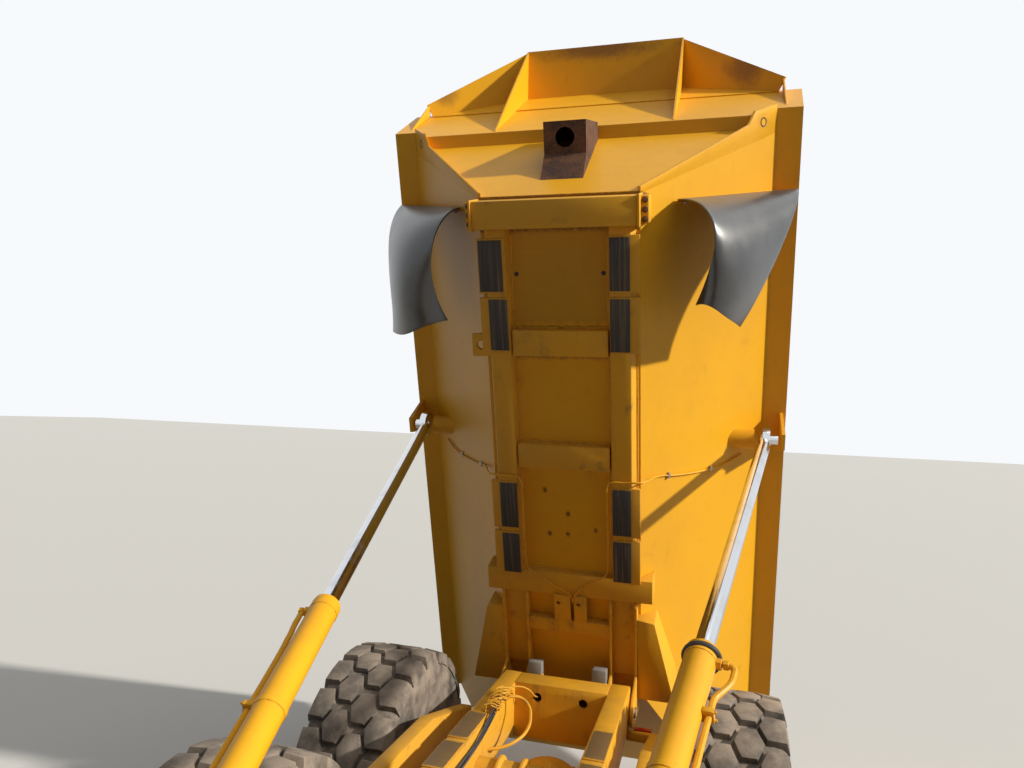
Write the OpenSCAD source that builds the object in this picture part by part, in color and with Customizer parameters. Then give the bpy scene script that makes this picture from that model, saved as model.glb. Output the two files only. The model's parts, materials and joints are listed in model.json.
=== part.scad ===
// Articulated dump truck, six wheels, load body raised on two hoist cylinders.
// Millimetres. +X is the truck's left, -Y its front, +Z up. The ground is at z = 0.
// Lengths along the truck are first given from the tip hinge of the load body.

/* [Load body] */
// Angle of the raised load body
tip_angle = 70; // [60:1:72]
// Height of the tip hinge above the ground
hinge_z = 1245; // [1240:1:1250]
// Half width of the body floor
floor_half = 500; // [490:1:510]
// Height of the floor's underside above the hinge
floor_w = 270; // [265:1:275]
// Half width where the sloping flank meets the top rail
flank_half = 1300; // [1290:1:1310]
// Height of that corner above the hinge
flank_w = 1270; // [1260:1:1280]
// Half width at the outside of the top rail, low
rail_low_half = 1462; // [1450:1:1470]
// Half width at the outside of the top rail, high
rail_top_half = 1490; // [1480:1:1500]
// Height of the top rail's upper face above the hinge
rail_top_w = 1805; // [1780:5:1830]
// Forward reach of the floor from the hinge
floor_front = 3458; // [3440:2:3470]
// Forward reach and height of the front wall's box beam, lower edge
beam_front = 3785; // [3770:5:3800]
// Height of the box beam's lower edge above the hinge
beam_w = 1105; // [1095:5:1115]
// Depth of the box beam, front to back
beam_depth = 87; // [70:1:100]
// Reach of the front wall's upper edge
headboard_front = 4155; // [4130:5:4170]
// Height of the headboard between its ribs, above the top rail
headboard_rise = 340; // [295:5:375]
// Depth of the spill guard at the ribs
guard_reach = 382; // [340:2:400]
// Height of the headboard's outer ends, below the top rail
headboard_drop = 55; // [35:5:85]
// Half distance between the two headboard ribs
headboard_rib_half = 630; // [600:5:650]
// Thickness of the body's plates
plate_t = 14; // [10:1:18]
// Reach of the tail behind the hinge
tail_reach = 1150; // [1050:10:1200]
// Height of the tail's tip above the hinge
tail_w = 800; // [760:10:830]

/* [Hoist] */
// Place of the hoist eye on the body: in from the top rail's low edge
hoist_eye_in = 149; // [144:1:154]
// Place of the hoist eye on the body: forward of the hinge
hoist_eye_u = 1654; // [1650:1:1658]
// Place of the hoist eye on the body: above the hinge
hoist_eye_w = 1030; // [1026:1:1034]
// Hoist cylinder's lower ball: sideways
hoist_foot_x = 560; // [558:1:564]
// Hoist cylinder's lower ball: forward of the hinge
hoist_foot_front = 3918; // [3910:1:3926]
// Hoist cylinder's lower ball: height
hoist_foot_z = 1274; // [1270:1:1278]
// Outside diameter of the hoist barrel
hoist_barrel_d = 170; // [150:2:176]
// Diameter of the hoist rod
hoist_rod_d = 90; // [80:1:95]
// Length of the hoist barrel from its ball to its gland
hoist_barrel_l = 2460; // [2440:5:2465]

/* [Wheels] */
// Outside diameter of a tyre
tyre_d = 1620; // [1600:5:1630]
// Width of a tyre
tyre_w = 595; // [570:5:600]
// Half distance between the wheels of one axle
track_half = 1120; // [1110:5:1130]
// Distance from the hinge to the rear axle
rear_axle_front = 520; // [500:5:540]
// Distance between the two trailer axles
bogie_base = 1700; // [1690:5:1720]
// Distance from the middle axle to the front axle
wheelbase = 4170; // [4150:5:4190]

/* [Frames] */
// Half distance between the outsides of the trailer's rails
rail_half = 448; // [446:1:450]
// Width of each trailer rail
rail_w = 132; // [126:1:134]
// Height of the trailer rails above the ground
rail_top_z = 1410; // [1400:1:1412]
// Height of the rails' front stretch, under the body's cross beam
rail_front_z = 1318; // [1300:1:1325]
// Distance from the hinge to the steering pin
steer_front = 5000; // [4990:5:5010]
// Distance from the hinge to the front of the bumper
nose_front = 9150; // [9100:10:9200]
// Height of the cab roof above the ground
cab_top_z = 3400; // [3350:10:3420]

/* [Fits] */
// Play between a pin and its bore
pin_play = 0.4; // [0.3:0.1:1]
// Gap between pieces that pass each other
pass_gap = 8; // [6:1:10]
// Gap between faces that rest on each other
seat_gap = 0.3; // [0.2:0.1:0.5]

/* [Hidden] */
$fn = 48;

yellow = "#E8A317";
black = "#26272A";
rubber = "#4A4744";
steel = "#C9CDD2";
rust = "#6E4026";
glass = [0.55, 0.70, 0.75, 0.45];
grey = "#8C8F92";

// Side view outline of the load body: forward of the hinge and above it.
headboard_w = rail_top_w + headboard_rise;
headboard_end_w = rail_top_w - headboard_drop;
hoist_eye_x = rail_low_half - hoist_eye_in;
headboard_lean = (headboard_front - beam_front - beam_depth) / (headboard_w - beam_w);
rail_nose_u = beam_front + beam_depth + (flank_w - beam_w) * headboard_lean;
rail_nose_top_u = rail_nose_u + (rail_top_w - flank_w) * headboard_lean;
tail_top_u = -(tail_reach - 200);
tail_kick_u = -50;

// The rearmost corner of the raised body and the whole length set the frame's middle.
rear_end = -tail_top_u * cos(tip_angle) + rail_top_w * sin(tip_angle);
centre_shift = (nose_front - rear_end) / 2;

mid_axle_front = rear_axle_front + bogie_base;
front_axle_front = mid_axle_front + wheelbase;
tyre_r = tyre_d / 2;

// Places all that stands on the ground, given forward of the hinge as -y.
module on_ground() {
    translate([0, centre_shift, 0]) children();
}

// Places all that is carried by the raised load body, given as if it were lowered.
module on_body() {
    translate([0, centre_shift, hinge_z]) rotate([-tip_angle, 0, 0]) children();
}

// A plate that stands along the truck: outline points are (y, z), from x0 outwards by t.
module side_plate(x0, t, outline) {
    translate([x0, 0, 0]) rotate([90, 0, 90]) linear_extrude(t) polygon(outline);
}

// A bar that runs along the truck from y0 to y1: outline points are (x, z).
module long_bar(y0, y1, outline) {
    translate([0, y1, 0]) rotate([90, 0, 0]) linear_extrude(y1 - y0) polygon(outline);
}

// A block between two corners.
module block(low, high) {
    translate(low) cube(high - low);
}

// A round bar along X, Y or Z.
module bar_x(x0, x1, y, z, r) {
    translate([x0, y, z]) rotate([0, 90, 0]) cylinder(r = r, h = x1 - x0);
}
module bar_y(y0, y1, x, z, r) {
    translate([x, y0, z]) rotate([-90, 0, 0]) cylinder(r = r, h = y1 - y0);
}
module bar_z(z0, z1, x, y, r) {
    translate([x, y, z0]) cylinder(r = r, h = z1 - z0);
}

// The same on both sides of the truck.
module both_sides() {
    children();
    mirror([1, 0, 0]) children();
}

// Turns +Z onto a direction.
function length_of(v) = sqrt(v[0] * v[0] + v[1] * v[1] + v[2] * v[2]);
module along(from, to) {
    v = to - from;
    translate(from)
        rotate([0, acos(v[2] / length_of(v)), atan2(v[1], v[0])])
            children();
}

/* Load body */

// Outside of the body in cross section, one half: across and above the hinge.
body_half = [
    [0, floor_w], [floor_half, floor_w], [flank_half, flank_w],
    [rail_low_half, flank_w], [rail_top_half, rail_top_w], [0, rail_top_w]
];
flank_slope = (flank_w - floor_w) / (flank_half - floor_half);
// Sideways thickness of a sloping flank plate.
flank_side_t = plate_t * sqrt(1 + flank_slope * flank_slope) / flank_slope;
rail_inner_half = flank_half - plate_t;
inside_half = [
    [0, floor_w + plate_t],
    [floor_half - flank_side_t + plate_t / flank_slope, floor_w + plate_t],
    [rail_inner_half, flank_w + flank_slope * (flank_side_t - plate_t)],
    [rail_inner_half, rail_top_w + 1], [0, rail_top_w + 1]
];

module mirrored_bar(y0, y1, half) {
    both_sides() long_bar(y0, y1, half);
}

// Side view of the shell's outside, then of its load space.
shell_reach = rail_top_half + 110;
shell_side = [
    [-floor_front, floor_w], [-beam_front, beam_w], [-beam_front - beam_depth, beam_w + 12],
    [-rail_nose_top_u, rail_top_w], [-tail_top_u, rail_top_w],
    [tail_reach, tail_w], [-tail_kick_u, floor_w]
];
wall_back = plate_t * 1.08;
space_side = [
    [-floor_front + wall_back, floor_w], [-beam_front + wall_back, beam_w],
    [-rail_nose_top_u + wall_back, rail_top_w + 1],
    [tail_reach + 200, rail_top_w + 1],
    [tail_reach + 200, tail_w + plate_t + 200 * (tail_w - floor_w) / (tail_reach + tail_kick_u)],
    [-tail_kick_u, floor_w + plate_t], [-tail_kick_u, floor_w]
];

module body_shell() {
    color(yellow) on_body() {
        difference() {
            intersection() {
                mirrored_bar(-beam_front - 600, tail_reach + 100, body_half);
                side_plate(-shell_reach, 2 * shell_reach, shell_side);
            }
            intersection() {
                mirrored_bar(-beam_front - 600, tail_reach + 300, inside_half);
                side_plate(-shell_reach, 2 * shell_reach, space_side);
            }
        }
        headboard();
        hoist_brackets();
    }
}

// The front wall above the rails, its two ribs and the spill guard over the cab.
guard_tip_u = headboard_front + guard_reach;
guard_tip_w = headboard_w + 90;
guard_t = 12;
headboard_half = 1330;
guard_end = [headboard_half + 43, headboard_front - 9, headboard_end_w + 2];
module headboard() {
    lean = atan(headboard_lean);
    rise = (headboard_w - rail_top_w) / cos(lean);
    drop = (rail_top_w - headboard_end_w) / cos(lean);
    // Sunk halfway into the wall below, so that the two make one plate.
    translate([0, -rail_nose_top_u + plate_t / 2, rail_top_w]) rotate([lean, 0, 0])
        rotate([90, 0, 0]) linear_extrude(plate_t)
            polygon([
                [-headboard_half, -drop], [headboard_half, -drop],
                [headboard_rib_half, rise], [-headboard_rib_half, rise]
            ]);
    side_plate(-headboard_rib_half, 2 * headboard_rib_half, [
        [-headboard_front + 12, headboard_w - 6], [-guard_tip_u, guard_tip_w],
        [-guard_tip_u + 3, guard_tip_w + guard_t], [-headboard_front + 12, headboard_w + 6]
    ]);
    both_sides() {
        side_plate(headboard_rib_half - 6, 12, [
            [-beam_front - beam_depth + 10, beam_w + 40], [-beam_front - beam_depth - 10, beam_w + 40],
            [-guard_tip_u + 1, guard_tip_w + 6], [-headboard_front + 4, headboard_w]
        ]);
        flat_plate([
            [headboard_rib_half - 3, -headboard_front + 14, headboard_w - 4],
            [headboard_rib_half - 3, -guard_tip_u + 9, guard_tip_w - 2],
            [guard_end[0], -guard_end[1], guard_end[2]],
            [headboard_half - 4, -guard_end[1] + 90, headboard_end_w]
        ], guard_t);
    }
}

// A flat plate, t thick, on the plane of its first three corners; the rest are brought onto it.
function cross_of(a, b) = [a[1] * b[2] - a[2] * b[1], a[2] * b[0] - a[0] * b[2], a[0] * b[1] - a[1] * b[0]];
module flat_plate(corners, t) {
    n = cross_of(corners[1] - corners[0], corners[2] - corners[0]);
    tilt = acos(n[2] / length_of(n));
    turn = atan2(n[1], n[0]);
    local_x = [cos(tilt) * cos(turn), cos(tilt) * sin(turn), -sin(tilt)];
    local_y = [-sin(turn), cos(turn), 0];
    translate(corners[0]) rotate([0, tilt, turn]) linear_extrude(t)
        polygon([for (c = corners) [(c - corners[0]) * local_x, (c - corners[0]) * local_y]]);
}

// Eye brackets for the hoist rods: a boss on the flank and a hanger under the top rail.
eye_half = 25;
eye_r = 95;
hoist_boss_x = hoist_eye_x - 80;
hanger_x = rail_low_half - 44;
module hoist_brackets() {
    both_sides() {
        intersection() {
            bar_x(floor_half, hoist_boss_x, -hoist_eye_u, hoist_eye_w, 72);
            long_bar(-hoist_eye_u - 90, -hoist_eye_u + 90, [
                [flank_half, flank_w], [flank_half + 20, flank_w - 300],
                [flank_half + 20, floor_w], [floor_half, floor_w]
            ]);
        }
        side_plate(hanger_x, 24, [
            [-hoist_eye_u - 130, flank_w], [-hoist_eye_u - 60, hoist_eye_w - 50],
            [-hoist_eye_u + 60, hoist_eye_w - 50], [-hoist_eye_u + 130, flank_w]
        ]);
    }
}

beam_low_w = 195;
ear_t = 20;
ear_r = 105;
ear_inner_x = rail_half - rail_w - pass_gap - ear_t;
ear_outer_x = rail_half + pass_gap + 6;
pin_r = 35;
module side_ear(x0) {
    difference() {
        union() {
            side_plate(x0, ear_t, [
                [-750, floor_seat], [-690, beam_low_w], [-150, beam_low_w - 10],
                [-ear_r, 20], [-ear_r, 0], [ear_r, 0], [200, floor_seat]
            ]);
            bar_x(x0, x0 + ear_t, 0, 0, ear_r);
        }
        bar_x(x0 - 1, x0 + ear_t + 1, 0, 0, pin_r + pin_play);
    }
}

// Height of the flank's underside at a half width.
floor_seat = floor_w - seat_gap;
function flank_at(x) = floor_seat + (x - floor_half) * flank_slope;
web_x = 540;
flap_u = 3400;
flap_in = 700;
flap_out = 1450;
cross_beam_back = 3270;
cross_beam_front = 3440;
cross_beam_w = 100;
module body_underframe() {
    color(yellow) on_body() {
        both_sides() {
            block([ear_inner_x + ear_t, -cross_beam_back, beam_low_w], [ear_outer_x, -150, floor_seat]);
            for (x0 = [ear_inner_x, ear_outer_x]) side_ear(x0);
            // Outrigger beside the ear, up to the flank.
            long_bar(-640, -560, [
                [ear_outer_x + ear_t, beam_low_w], [620, beam_low_w], [620, flank_at(620)],
                [floor_half, floor_seat], [ear_outer_x + ear_t, floor_seat]
            ]);
            long_bar(-3200, -700, [
                [web_x, beam_low_w + 10], [web_x + 12, beam_low_w + 10],
                [web_x + 12, flank_at(web_x + 12)], [web_x, flank_at(web_x)]
            ]);
            // Carrier of the rubber flap, along the flank and the ledge.
            long_bar(-flap_u, -flap_u + 12, [
                [flap_in - 12, flank_at(flap_in - 12)], [flank_half, flank_at(flank_half)],
                [flap_out, flank_w - seat_gap],
                [flap_out, flank_w - 26], [flap_in, flank_at(flap_in) - 30]
            ]);
        }
        block([-floor_half, -cross_beam_front, cross_beam_w], [floor_half, -cross_beam_back, floor_seat]);
        for (u = [2460, 1685, 700]) {
            block([-ear_inner_x - ear_t, -u - 170, beam_low_w + 5],
                [ear_inner_x + ear_t, -u, floor_seat]);
        }
    }
}

pad_t = 15;
pad_x = [323, 437];
module wear_pads() {
    color(rubber) on_body() both_sides() {
        for (u = [[2880, 3200], [2500, 2830], [1240, 1570], [890, 1190]]) {
            block([pad_x[0], -u[1], beam_low_w - pad_t], [pad_x[1], -u[0], beam_low_w]);
        }
    }
}

inlet_x = [-150, 125];
inlet_w = 620;
module exhaust_inlet() {
    x0 = inlet_x[0];
    color(rust) on_body() difference() {
        side_plate(x0, inlet_x[1] - x0, inlet_side(0));
        side_plate(x0 + 10, inlet_x[1] - x0 - 20, inlet_side(10));
        bar_z(inlet_w - 1, inlet_w + 60, (inlet_x[0] + inlet_x[1]) / 2, -3794, 62);
    }
}
function wall_u(w) = floor_front + (w - floor_w) * (beam_front - floor_front) / (beam_w - floor_w);
function inlet_side(t) = [
    [-wall_u(480 + t * 1.6) + (t > 0 ? 1 : -seat_gap), 480 + t * 1.6],
    [-3694 - t * 0.4, inlet_w + t], [-3894 + t, inlet_w + t],
    [-3894 + t, beam_w - 5 - t],
    [-wall_u(beam_w - 5 - t) + (t > 0 ? 1 : -seat_gap), beam_w - 5 - t]
];

// Rubber flap bolted along the flank, drooping over the wheel in front of it.
flap_t = 12;
flap_rows = 8;
flap_cols = 4;
flap_top = [[flap_in, flap_u + seat_gap, 492], [flap_out, flap_u + seat_gap, 1248]];
flap_low = [[860, 2790, 60], [1100, 2600, 150]];
function mix(a, b, t) = a + (b - a) * t;
function flap_point(col, row, lift) =
    let (t = col / flap_cols, s = row / flap_rows,
        top = mix(flap_top[0], flap_top[1], t), low = mix(flap_low[0], flap_low[1], t))
    [mix(top[0], low[0], s), -mix(top[1], low[1], 1 - cos(90 * s)) - lift * cos(60 * s),
        mix(top[2], low[2], sin(90 * s)) - lift * sin(60 * s)];
module mud_flaps() {
    n = flap_cols + 1;
    count = n * (flap_rows + 1);
    points = [for (lift = [0, flap_t], row = [0:flap_rows], col = [0:flap_cols])
        flap_point(col, row, lift)];
    rim = concat([for (c = [0:flap_cols]) c], [for (r = [1:flap_rows]) r * n + flap_cols],
        [for (c = [flap_cols - 1:-1:0]) flap_rows * n + c], [for (r = [flap_rows - 1:-1:1]) r * n]);
    faces = concat(
        [for (r = [0:flap_rows - 1], c = [0:flap_cols - 1], k = [0, 1])
            let (a = r * n + c, b = a + 1, d = a + n, e = d + 1) k == 0 ? [a, d, b] : [b, d, e]],
        [for (r = [0:flap_rows - 1], c = [0:flap_cols - 1], k = [0, 1])
            let (a = count + r * n + c, b = a + 1, d = a + n, e = d + 1) k == 0 ? [a, b, d] : [b, e, d]],
        [for (i = [0:len(rim) - 1], k = [0, 1])
            let (a = rim[i], b = rim[(i + 1) % len(rim)])
            k == 0 ? [a, b, a + count] : [b, b + count, a + count]]
    );
    color(rubber) on_body() both_sides() polyhedron(points, faces);
}

/* Hoist cylinders */

eye_at = [hoist_eye_x, -hoist_eye_u * cos(tip_angle) + hoist_eye_w * sin(tip_angle),
    hinge_z + hoist_eye_u * sin(tip_angle) + hoist_eye_w * cos(tip_angle)];
foot_at = [hoist_foot_x, -hoist_foot_front, hoist_foot_z];
hoist_length = length_of(eye_at - foot_at);
// Its shortest length, body lowered, and the stroke between.
eye_low = [hoist_eye_x, -hoist_eye_u, hinge_z + hoist_eye_w];
hoist_stroke = hoist_length - length_of(eye_low - foot_at);
barrel_end = 150;
ball_r = 44;
foot_half = 25;

module hoist_barrel() {
    rod_r = hoist_rod_d / 2;
    difference() {
        union() {
            along(foot_at, eye_at) {
                translate([0, 0, 60]) cylinder(r = 38, h = barrel_end - 60);
                translate([0, 0, barrel_end - 30])
                    cylinder(d = hoist_barrel_d, h = hoist_barrel_l - barrel_end + 30);
                translate([0, 0, hoist_barrel_l - 70]) cylinder(d = hoist_barrel_d + 18, h = 55);
            }
            bar_x(foot_at[0] - foot_half, foot_at[0] + foot_half, foot_at[1], foot_at[2], 95);
        }
        along(foot_at, eye_at) translate([0, 0, barrel_end])
            cylinder(r = rod_r + pin_play, h = hoist_barrel_l);
        translate(foot_at) rotate([0, 90, 0]) sphere(r = ball_r + pin_play);
    }
}

module hoist_rod() {
    start = hoist_stroke + barrel_end + pass_gap;
    along(foot_at, eye_at) translate([0, 0, start])
        cylinder(d = hoist_rod_d, h = hoist_length - start - 60);
    bar_x(eye_at[0] - eye_half, eye_at[0] + eye_half, eye_at[1], eye_at[2], eye_r);
    bar_x(eye_at[0] - eye_half - 10, hanger_x - 22, eye_at[1], eye_at[2], 36);
}

module hoist_barrel_left() { color(yellow) on_ground() hoist_barrel(); }
module hoist_barrel_right() { color(yellow) on_ground() mirror([1, 0, 0]) hoist_barrel(); }
module hoist_rod_left() { color(steel) on_ground() hoist_rod(); }
module hoist_rod_right() { color(steel) on_ground() mirror([1, 0, 0]) hoist_rod(); }

/* Trailer */

exhaust_seat_z = 1200;
stop_x = 240;
stop_y = 40;
stop_z = 1400;
lamp_y = 40;
bogie_y = -(rear_axle_front + mid_axle_front) / 2;
bogie_z = 1030;
bogie_tube_r = 90;
neck_y = -4150;
rail_step = [-3150, -3000];
neck_z = 940;
pivot_tube_r = 240;
module trailer_frame() {
    x0 = rail_half - rail_w;
    color(yellow) on_ground() {
        difference() {
            union() {
                both_sides() {
                    side_plate(x0, rail_w, [
                        [neck_y, 800], [-3600, 960], [-340, 1080], [-60, 1140], [80, 1180],
                        [80, 1300], [30, rail_top_z], [rail_step[1], rail_top_z],
                        [rail_step[0], rail_front_z], [neck_y, 1180]
                    ]);
                    bar_x(x0, rail_half + 6, 0, hinge_z, 95);
                    // Bracket for the hoist cylinder's ball.
                    for (x = [foot_at[0] - 47 - lug_t, foot_at[0] + lug_out]) hoist_lug(x);
                    block([rail_half - 10, foot_at[1] - 90, foot_at[2] - 190],
                        [foot_at[0] + lug_out + lug_t, foot_at[1] + 90, foot_at[2] - 120]);
                }
                // Cross members between the rails.
                block([-280, -340, 1110], [280, 0, rail_top_z + 4]);
                block([-x0, -340, 1110], [x0, -170, rail_top_z + 4]);
                block([-x0, -2900, 1050], [x0, -2700, 1330]);
                block([-rail_half, neck_y, 760], [rail_half, neck_y + 40, 1180]);
                // Seat of the exhaust pipe, and brackets for the stops and the lamps.
                block([-x0, -3900, exhaust_seat_z - 20], [x0, -3690, exhaust_seat_z]);
                both_sides() {
                    block([stop_x - 42, -1, stop_z - 40], [stop_x + 40, stop_y + 45, stop_z]);
                    block([rail_half - 10, 0, 1050], [600, lamp_y, 1110]);
                    block([rail_half - 30, 0, 1060], [rail_half, lamp_y, 1200]);
                }
                bar_y(-4420, neck_y + 1, 0, neck_z, pivot_tube_r);
            }
            both_sides() bar_x(x0 - 30, rail_half + 20, 0, hinge_z, pin_r + pin_play);
            bar_x(-rail_half - 1, rail_half + 1, bogie_y, bogie_z, bogie_tube_r + seat_gap);
            block([-250, -320, 1100], [250, -20, 1390]);
            for (x = [-161, 161]) bar_y(-341, -300, x, 1335, 31);
            bar_y(-4421, -4180, 0, neck_z, 160 + pin_play);
        }
        rail_pads();
    }
}
module rail_pads() {
    both_sides() for (u = [[890, 1190], [1240, 1570], [2500, 2830]])
        block([pad_x[0], -u[1], rail_top_z - 1], [pad_x[1], -u[0], rail_top_z + 8]);
}
lug_t = 25;
lug_out = 66;
module hoist_lug(x) {
    side_plate(x, lug_t, [
        [foot_at[1] - 90, foot_at[2] - 150], [foot_at[1] - 55, foot_at[2] + 20],
        [foot_at[1] - 30, foot_at[2] + 55], [foot_at[1] + 30, foot_at[2] + 55],
        [foot_at[1] + 55, foot_at[2] + 20], [foot_at[1] + 90, foot_at[2] - 150]
    ]);
}

module tip_pins() {
    color(grey) on_ground() both_sides() {
        bar_x(ear_inner_x - 6, ear_outer_x + ear_t + 14, 0, hinge_z, pin_r);
        // Ball and pin of the hoist cylinder's foot, between its lugs.
        intersection() {
            translate(foot_at) rotate([0, 90, 0]) sphere(r = ball_r);
            block([foot_at[0] - 30, -5000, 0], [foot_at[0] + 30, 0, 3000]);
        }
        bar_x(foot_at[0] - 47, foot_at[0] + lug_out, foot_at[1], foot_at[2], 22);
    }
}

module bump_stops() {
    color(grey) on_ground() both_sides()
        bar_z(stop_z + seat_gap, hinge_z + floor_w - 19, stop_x, stop_y, 34);
}

module tail_lamps() {
    color("#8A1F1B") on_ground() both_sides()
        block([480, lamp_y + seat_gap, 1040], [600, lamp_y + 40, 1120]);
}

axle_x = 800;
housing_r = 115;
differential_r = 260;
spindle_r = 70;
spindle_end = 160;
module axle_housing(y) {
    translate([0, y, tyre_r]) {
        bar_x(-axle_x, axle_x, 0, 0, housing_r);
        rotate([0, 90, 0]) sphere(r = differential_r);
        both_sides() {
            bar_x(axle_x - 90, axle_x + 20, 0, 0, 200);
            bar_x(axle_x, track_half + spindle_end, 0, 0, spindle_r);
        }
    }
}
module bogie_axles() {
    color(yellow) on_ground() for (y = [-rear_axle_front, -mid_axle_front]) axle_housing(y);
}

beam_x = [610, 700];
module bogie_beams() {
    seat = tyre_r + housing_r + seat_gap;
    color(yellow) on_ground() {
        both_sides() side_plate(beam_x[0], beam_x[1] - beam_x[0], [
            [-mid_axle_front - 190, seat], [-mid_axle_front - 150, tyre_r + 220],
            [bogie_y - 320, 1240], [bogie_y + 320, 1240],
            [-rear_axle_front + 150, tyre_r + 220], [-rear_axle_front + 190, seat],
            [-rear_axle_front - 150, seat], [bogie_y + 200, 900], [bogie_y - 200, 900],
            [-mid_axle_front + 150, seat]
        ]);
        bar_x(-beam_x[0] - 10, beam_x[0] + 10, bogie_y, bogie_z, bogie_tube_r);
    }
}

// Drive shafts: from the hitch to the middle axle, and on to the rear axle.
module drive_shafts() {
    color(grey) on_ground() {
        bar_y(neck_y + 40 + seat_gap, -mid_axle_front - differential_r - seat_gap, 0, tyre_r, 50);
        bar_y(-mid_axle_front + differential_r + seat_gap,
            -rear_axle_front - differential_r - seat_gap, 0, tyre_r, 50);
    }
}

/* Hitch */

steer_y = -steer_front;
steer_lug_x = 420;
steer_lug_y = steer_y + 200;
hitch_gap_z = [690, 1190];
module hitch() {
    color(yellow) on_ground() {
        difference() {
            union() {
                bar_z(hitch_gap_z[0], hitch_gap_z[1], 0, steer_y, 150);
                bar_y(steer_y, -4185, 0, neck_z, 160);
                bar_y(steer_y + 160, -4425, 0, neck_z, 210);
                for (z = [neck_z + 43, neck_z - 63]) steer_lugs(z);
            }
            bar_z(hitch_gap_z[0] - 1, hitch_gap_z[1] + 1, 0, steer_y, 60 + pin_play);
        }
    }
}
module steer_lugs(z) {
    translate([0, 0, z]) linear_extrude(20) polygon([
        [-steer_lug_x - 56, steer_lug_y + 60], [-steer_lug_x - 56, steer_lug_y + 10],
        [-steer_lug_x - 10, steer_lug_y - 55], [-150, steer_y - 60], [150, steer_y - 60],
        [steer_lug_x + 10, steer_lug_y - 55], [steer_lug_x + 56, steer_lug_y + 10],
        [steer_lug_x + 56, steer_lug_y + 60],
        [150, steer_y + 330], [-150, steer_y + 330]
    ]);
}

/* Steering cylinders */

steer_foot = [500, -5950, neck_z];
steer_eye = [steer_lug_x, steer_lug_y, neck_z];
steer_length = length_of(steer_eye - steer_foot);
steer_barrel_l = 760;
steer_rod_r = 30;
module steer_barrel() {
    difference() {
        union() {
            along(steer_foot, steer_eye) {
                translate([-30, -34, 30]) cube([60, 68, 60]);
                translate([0, 0, 86]) cylinder(d = 110, h = steer_barrel_l - 86);
                translate([0, 0, steer_barrel_l - 40]) cylinder(d = 124, h = 40);
            }
            bar_z(neck_z - 34, neck_z + 34, steer_foot[0], steer_foot[1], 62);
        }
        along(steer_foot, steer_eye) translate([0, 0, 97])
            cylinder(r = steer_rod_r + pin_play, h = steer_barrel_l);
        bar_z(neck_z - 40, neck_z + 40, steer_foot[0], steer_foot[1], steer_rod_r + pin_play);
    }
}
module steer_rod() {
    along(steer_foot, steer_eye) translate([0, 0, 420])
        cylinder(r = steer_rod_r, h = steer_length - 460);
    bar_z(neck_z - 34, neck_z + 34, steer_eye[0], steer_eye[1], 62);
}
module steer_barrel_left() { color(yellow) on_ground() steer_barrel(); }
module steer_barrel_right() { color(yellow) on_ground() mirror([1, 0, 0]) steer_barrel(); }
module steer_rod_left() { color(steel) on_ground() steer_rod(); }
module steer_rod_right() { color(steel) on_ground() mirror([1, 0, 0]) steer_rod(); }

/* Wheels */

rim_r = 318;
flange_h = 25;
flange_x = [40, 52];
bead_x = flange_x[1] + seat_gap;
module tyre() {
    half = tyre_w / 2;
    color(rubber) rotate([0, 90, 0]) rotate_extrude($fn = 72) polygon([
        [rim_r + seat_gap, -half + bead_x], [rim_r + flange_h, -half + bead_x],
        [rim_r + 60, -half + 20], [rim_r + 190, -half],
        [tyre_r - 130, -half + 4], [tyre_r - 35, -half + 28], [tyre_r, -half + 75],
        [tyre_r, half - 75], [tyre_r - 35, half - 28], [tyre_r - 130, half - 4],
        [rim_r + 190, half], [rim_r + 60, half - 20],
        [rim_r + flange_h, half - bead_x], [rim_r + seat_gap, half - bead_x]
    ]);
}
module rim() {
    half = tyre_w / 2;
    bore_r = spindle_r + pin_play;
    flange_r = rim_r + flange_h;
    color(yellow) rotate([0, 90, 0]) rotate_extrude($fn = 72) polygon([
        [bore_r, 60], [240, 95], [rim_r - 18, 60], [rim_r - 18, -half + flange_x[0]],
        [flange_r, -half + flange_x[0]], [flange_r, -half + flange_x[1]],
        [rim_r, -half + flange_x[1]], [rim_r, half - flange_x[1]],
        [flange_r, half - flange_x[1]], [flange_r, half - flange_x[0]],
        [rim_r - 18, half - flange_x[0]], [rim_r - 18, 84], [240, 120],
        [170, 120], [150, 230], [0, 240], [0, spindle_end + 10], [bore_r, spindle_end + 10]
    ]);
}
module wheel_place(side, front) {
    on_ground() translate([side * track_half, -front, tyre_r])
        mirror([side < 0 ? 1 : 0, 0, 0]) children();
}

module tyre_front_left() { wheel_place(1, front_axle_front) tyre(); }
module tyre_front_right() { wheel_place(-1, front_axle_front) tyre(); }
module tyre_mid_left() { wheel_place(1, mid_axle_front) tyre(); }
module tyre_mid_right() { wheel_place(-1, mid_axle_front) tyre(); }
module tyre_rear_left() { wheel_place(1, rear_axle_front) tyre(); }
module tyre_rear_right() { wheel_place(-1, rear_axle_front) tyre(); }
module rim_front_left() { wheel_place(1, front_axle_front) rim(); }
module rim_front_right() { wheel_place(-1, front_axle_front) rim(); }
module rim_mid_left() { wheel_place(1, mid_axle_front) rim(); }
module rim_mid_right() { wheel_place(-1, mid_axle_front) rim(); }
module rim_rear_left() { wheel_place(1, rear_axle_front) rim(); }
module rim_rear_right() { wheel_place(-1, rear_axle_front) rim(); }

/* Tractor */

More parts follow.
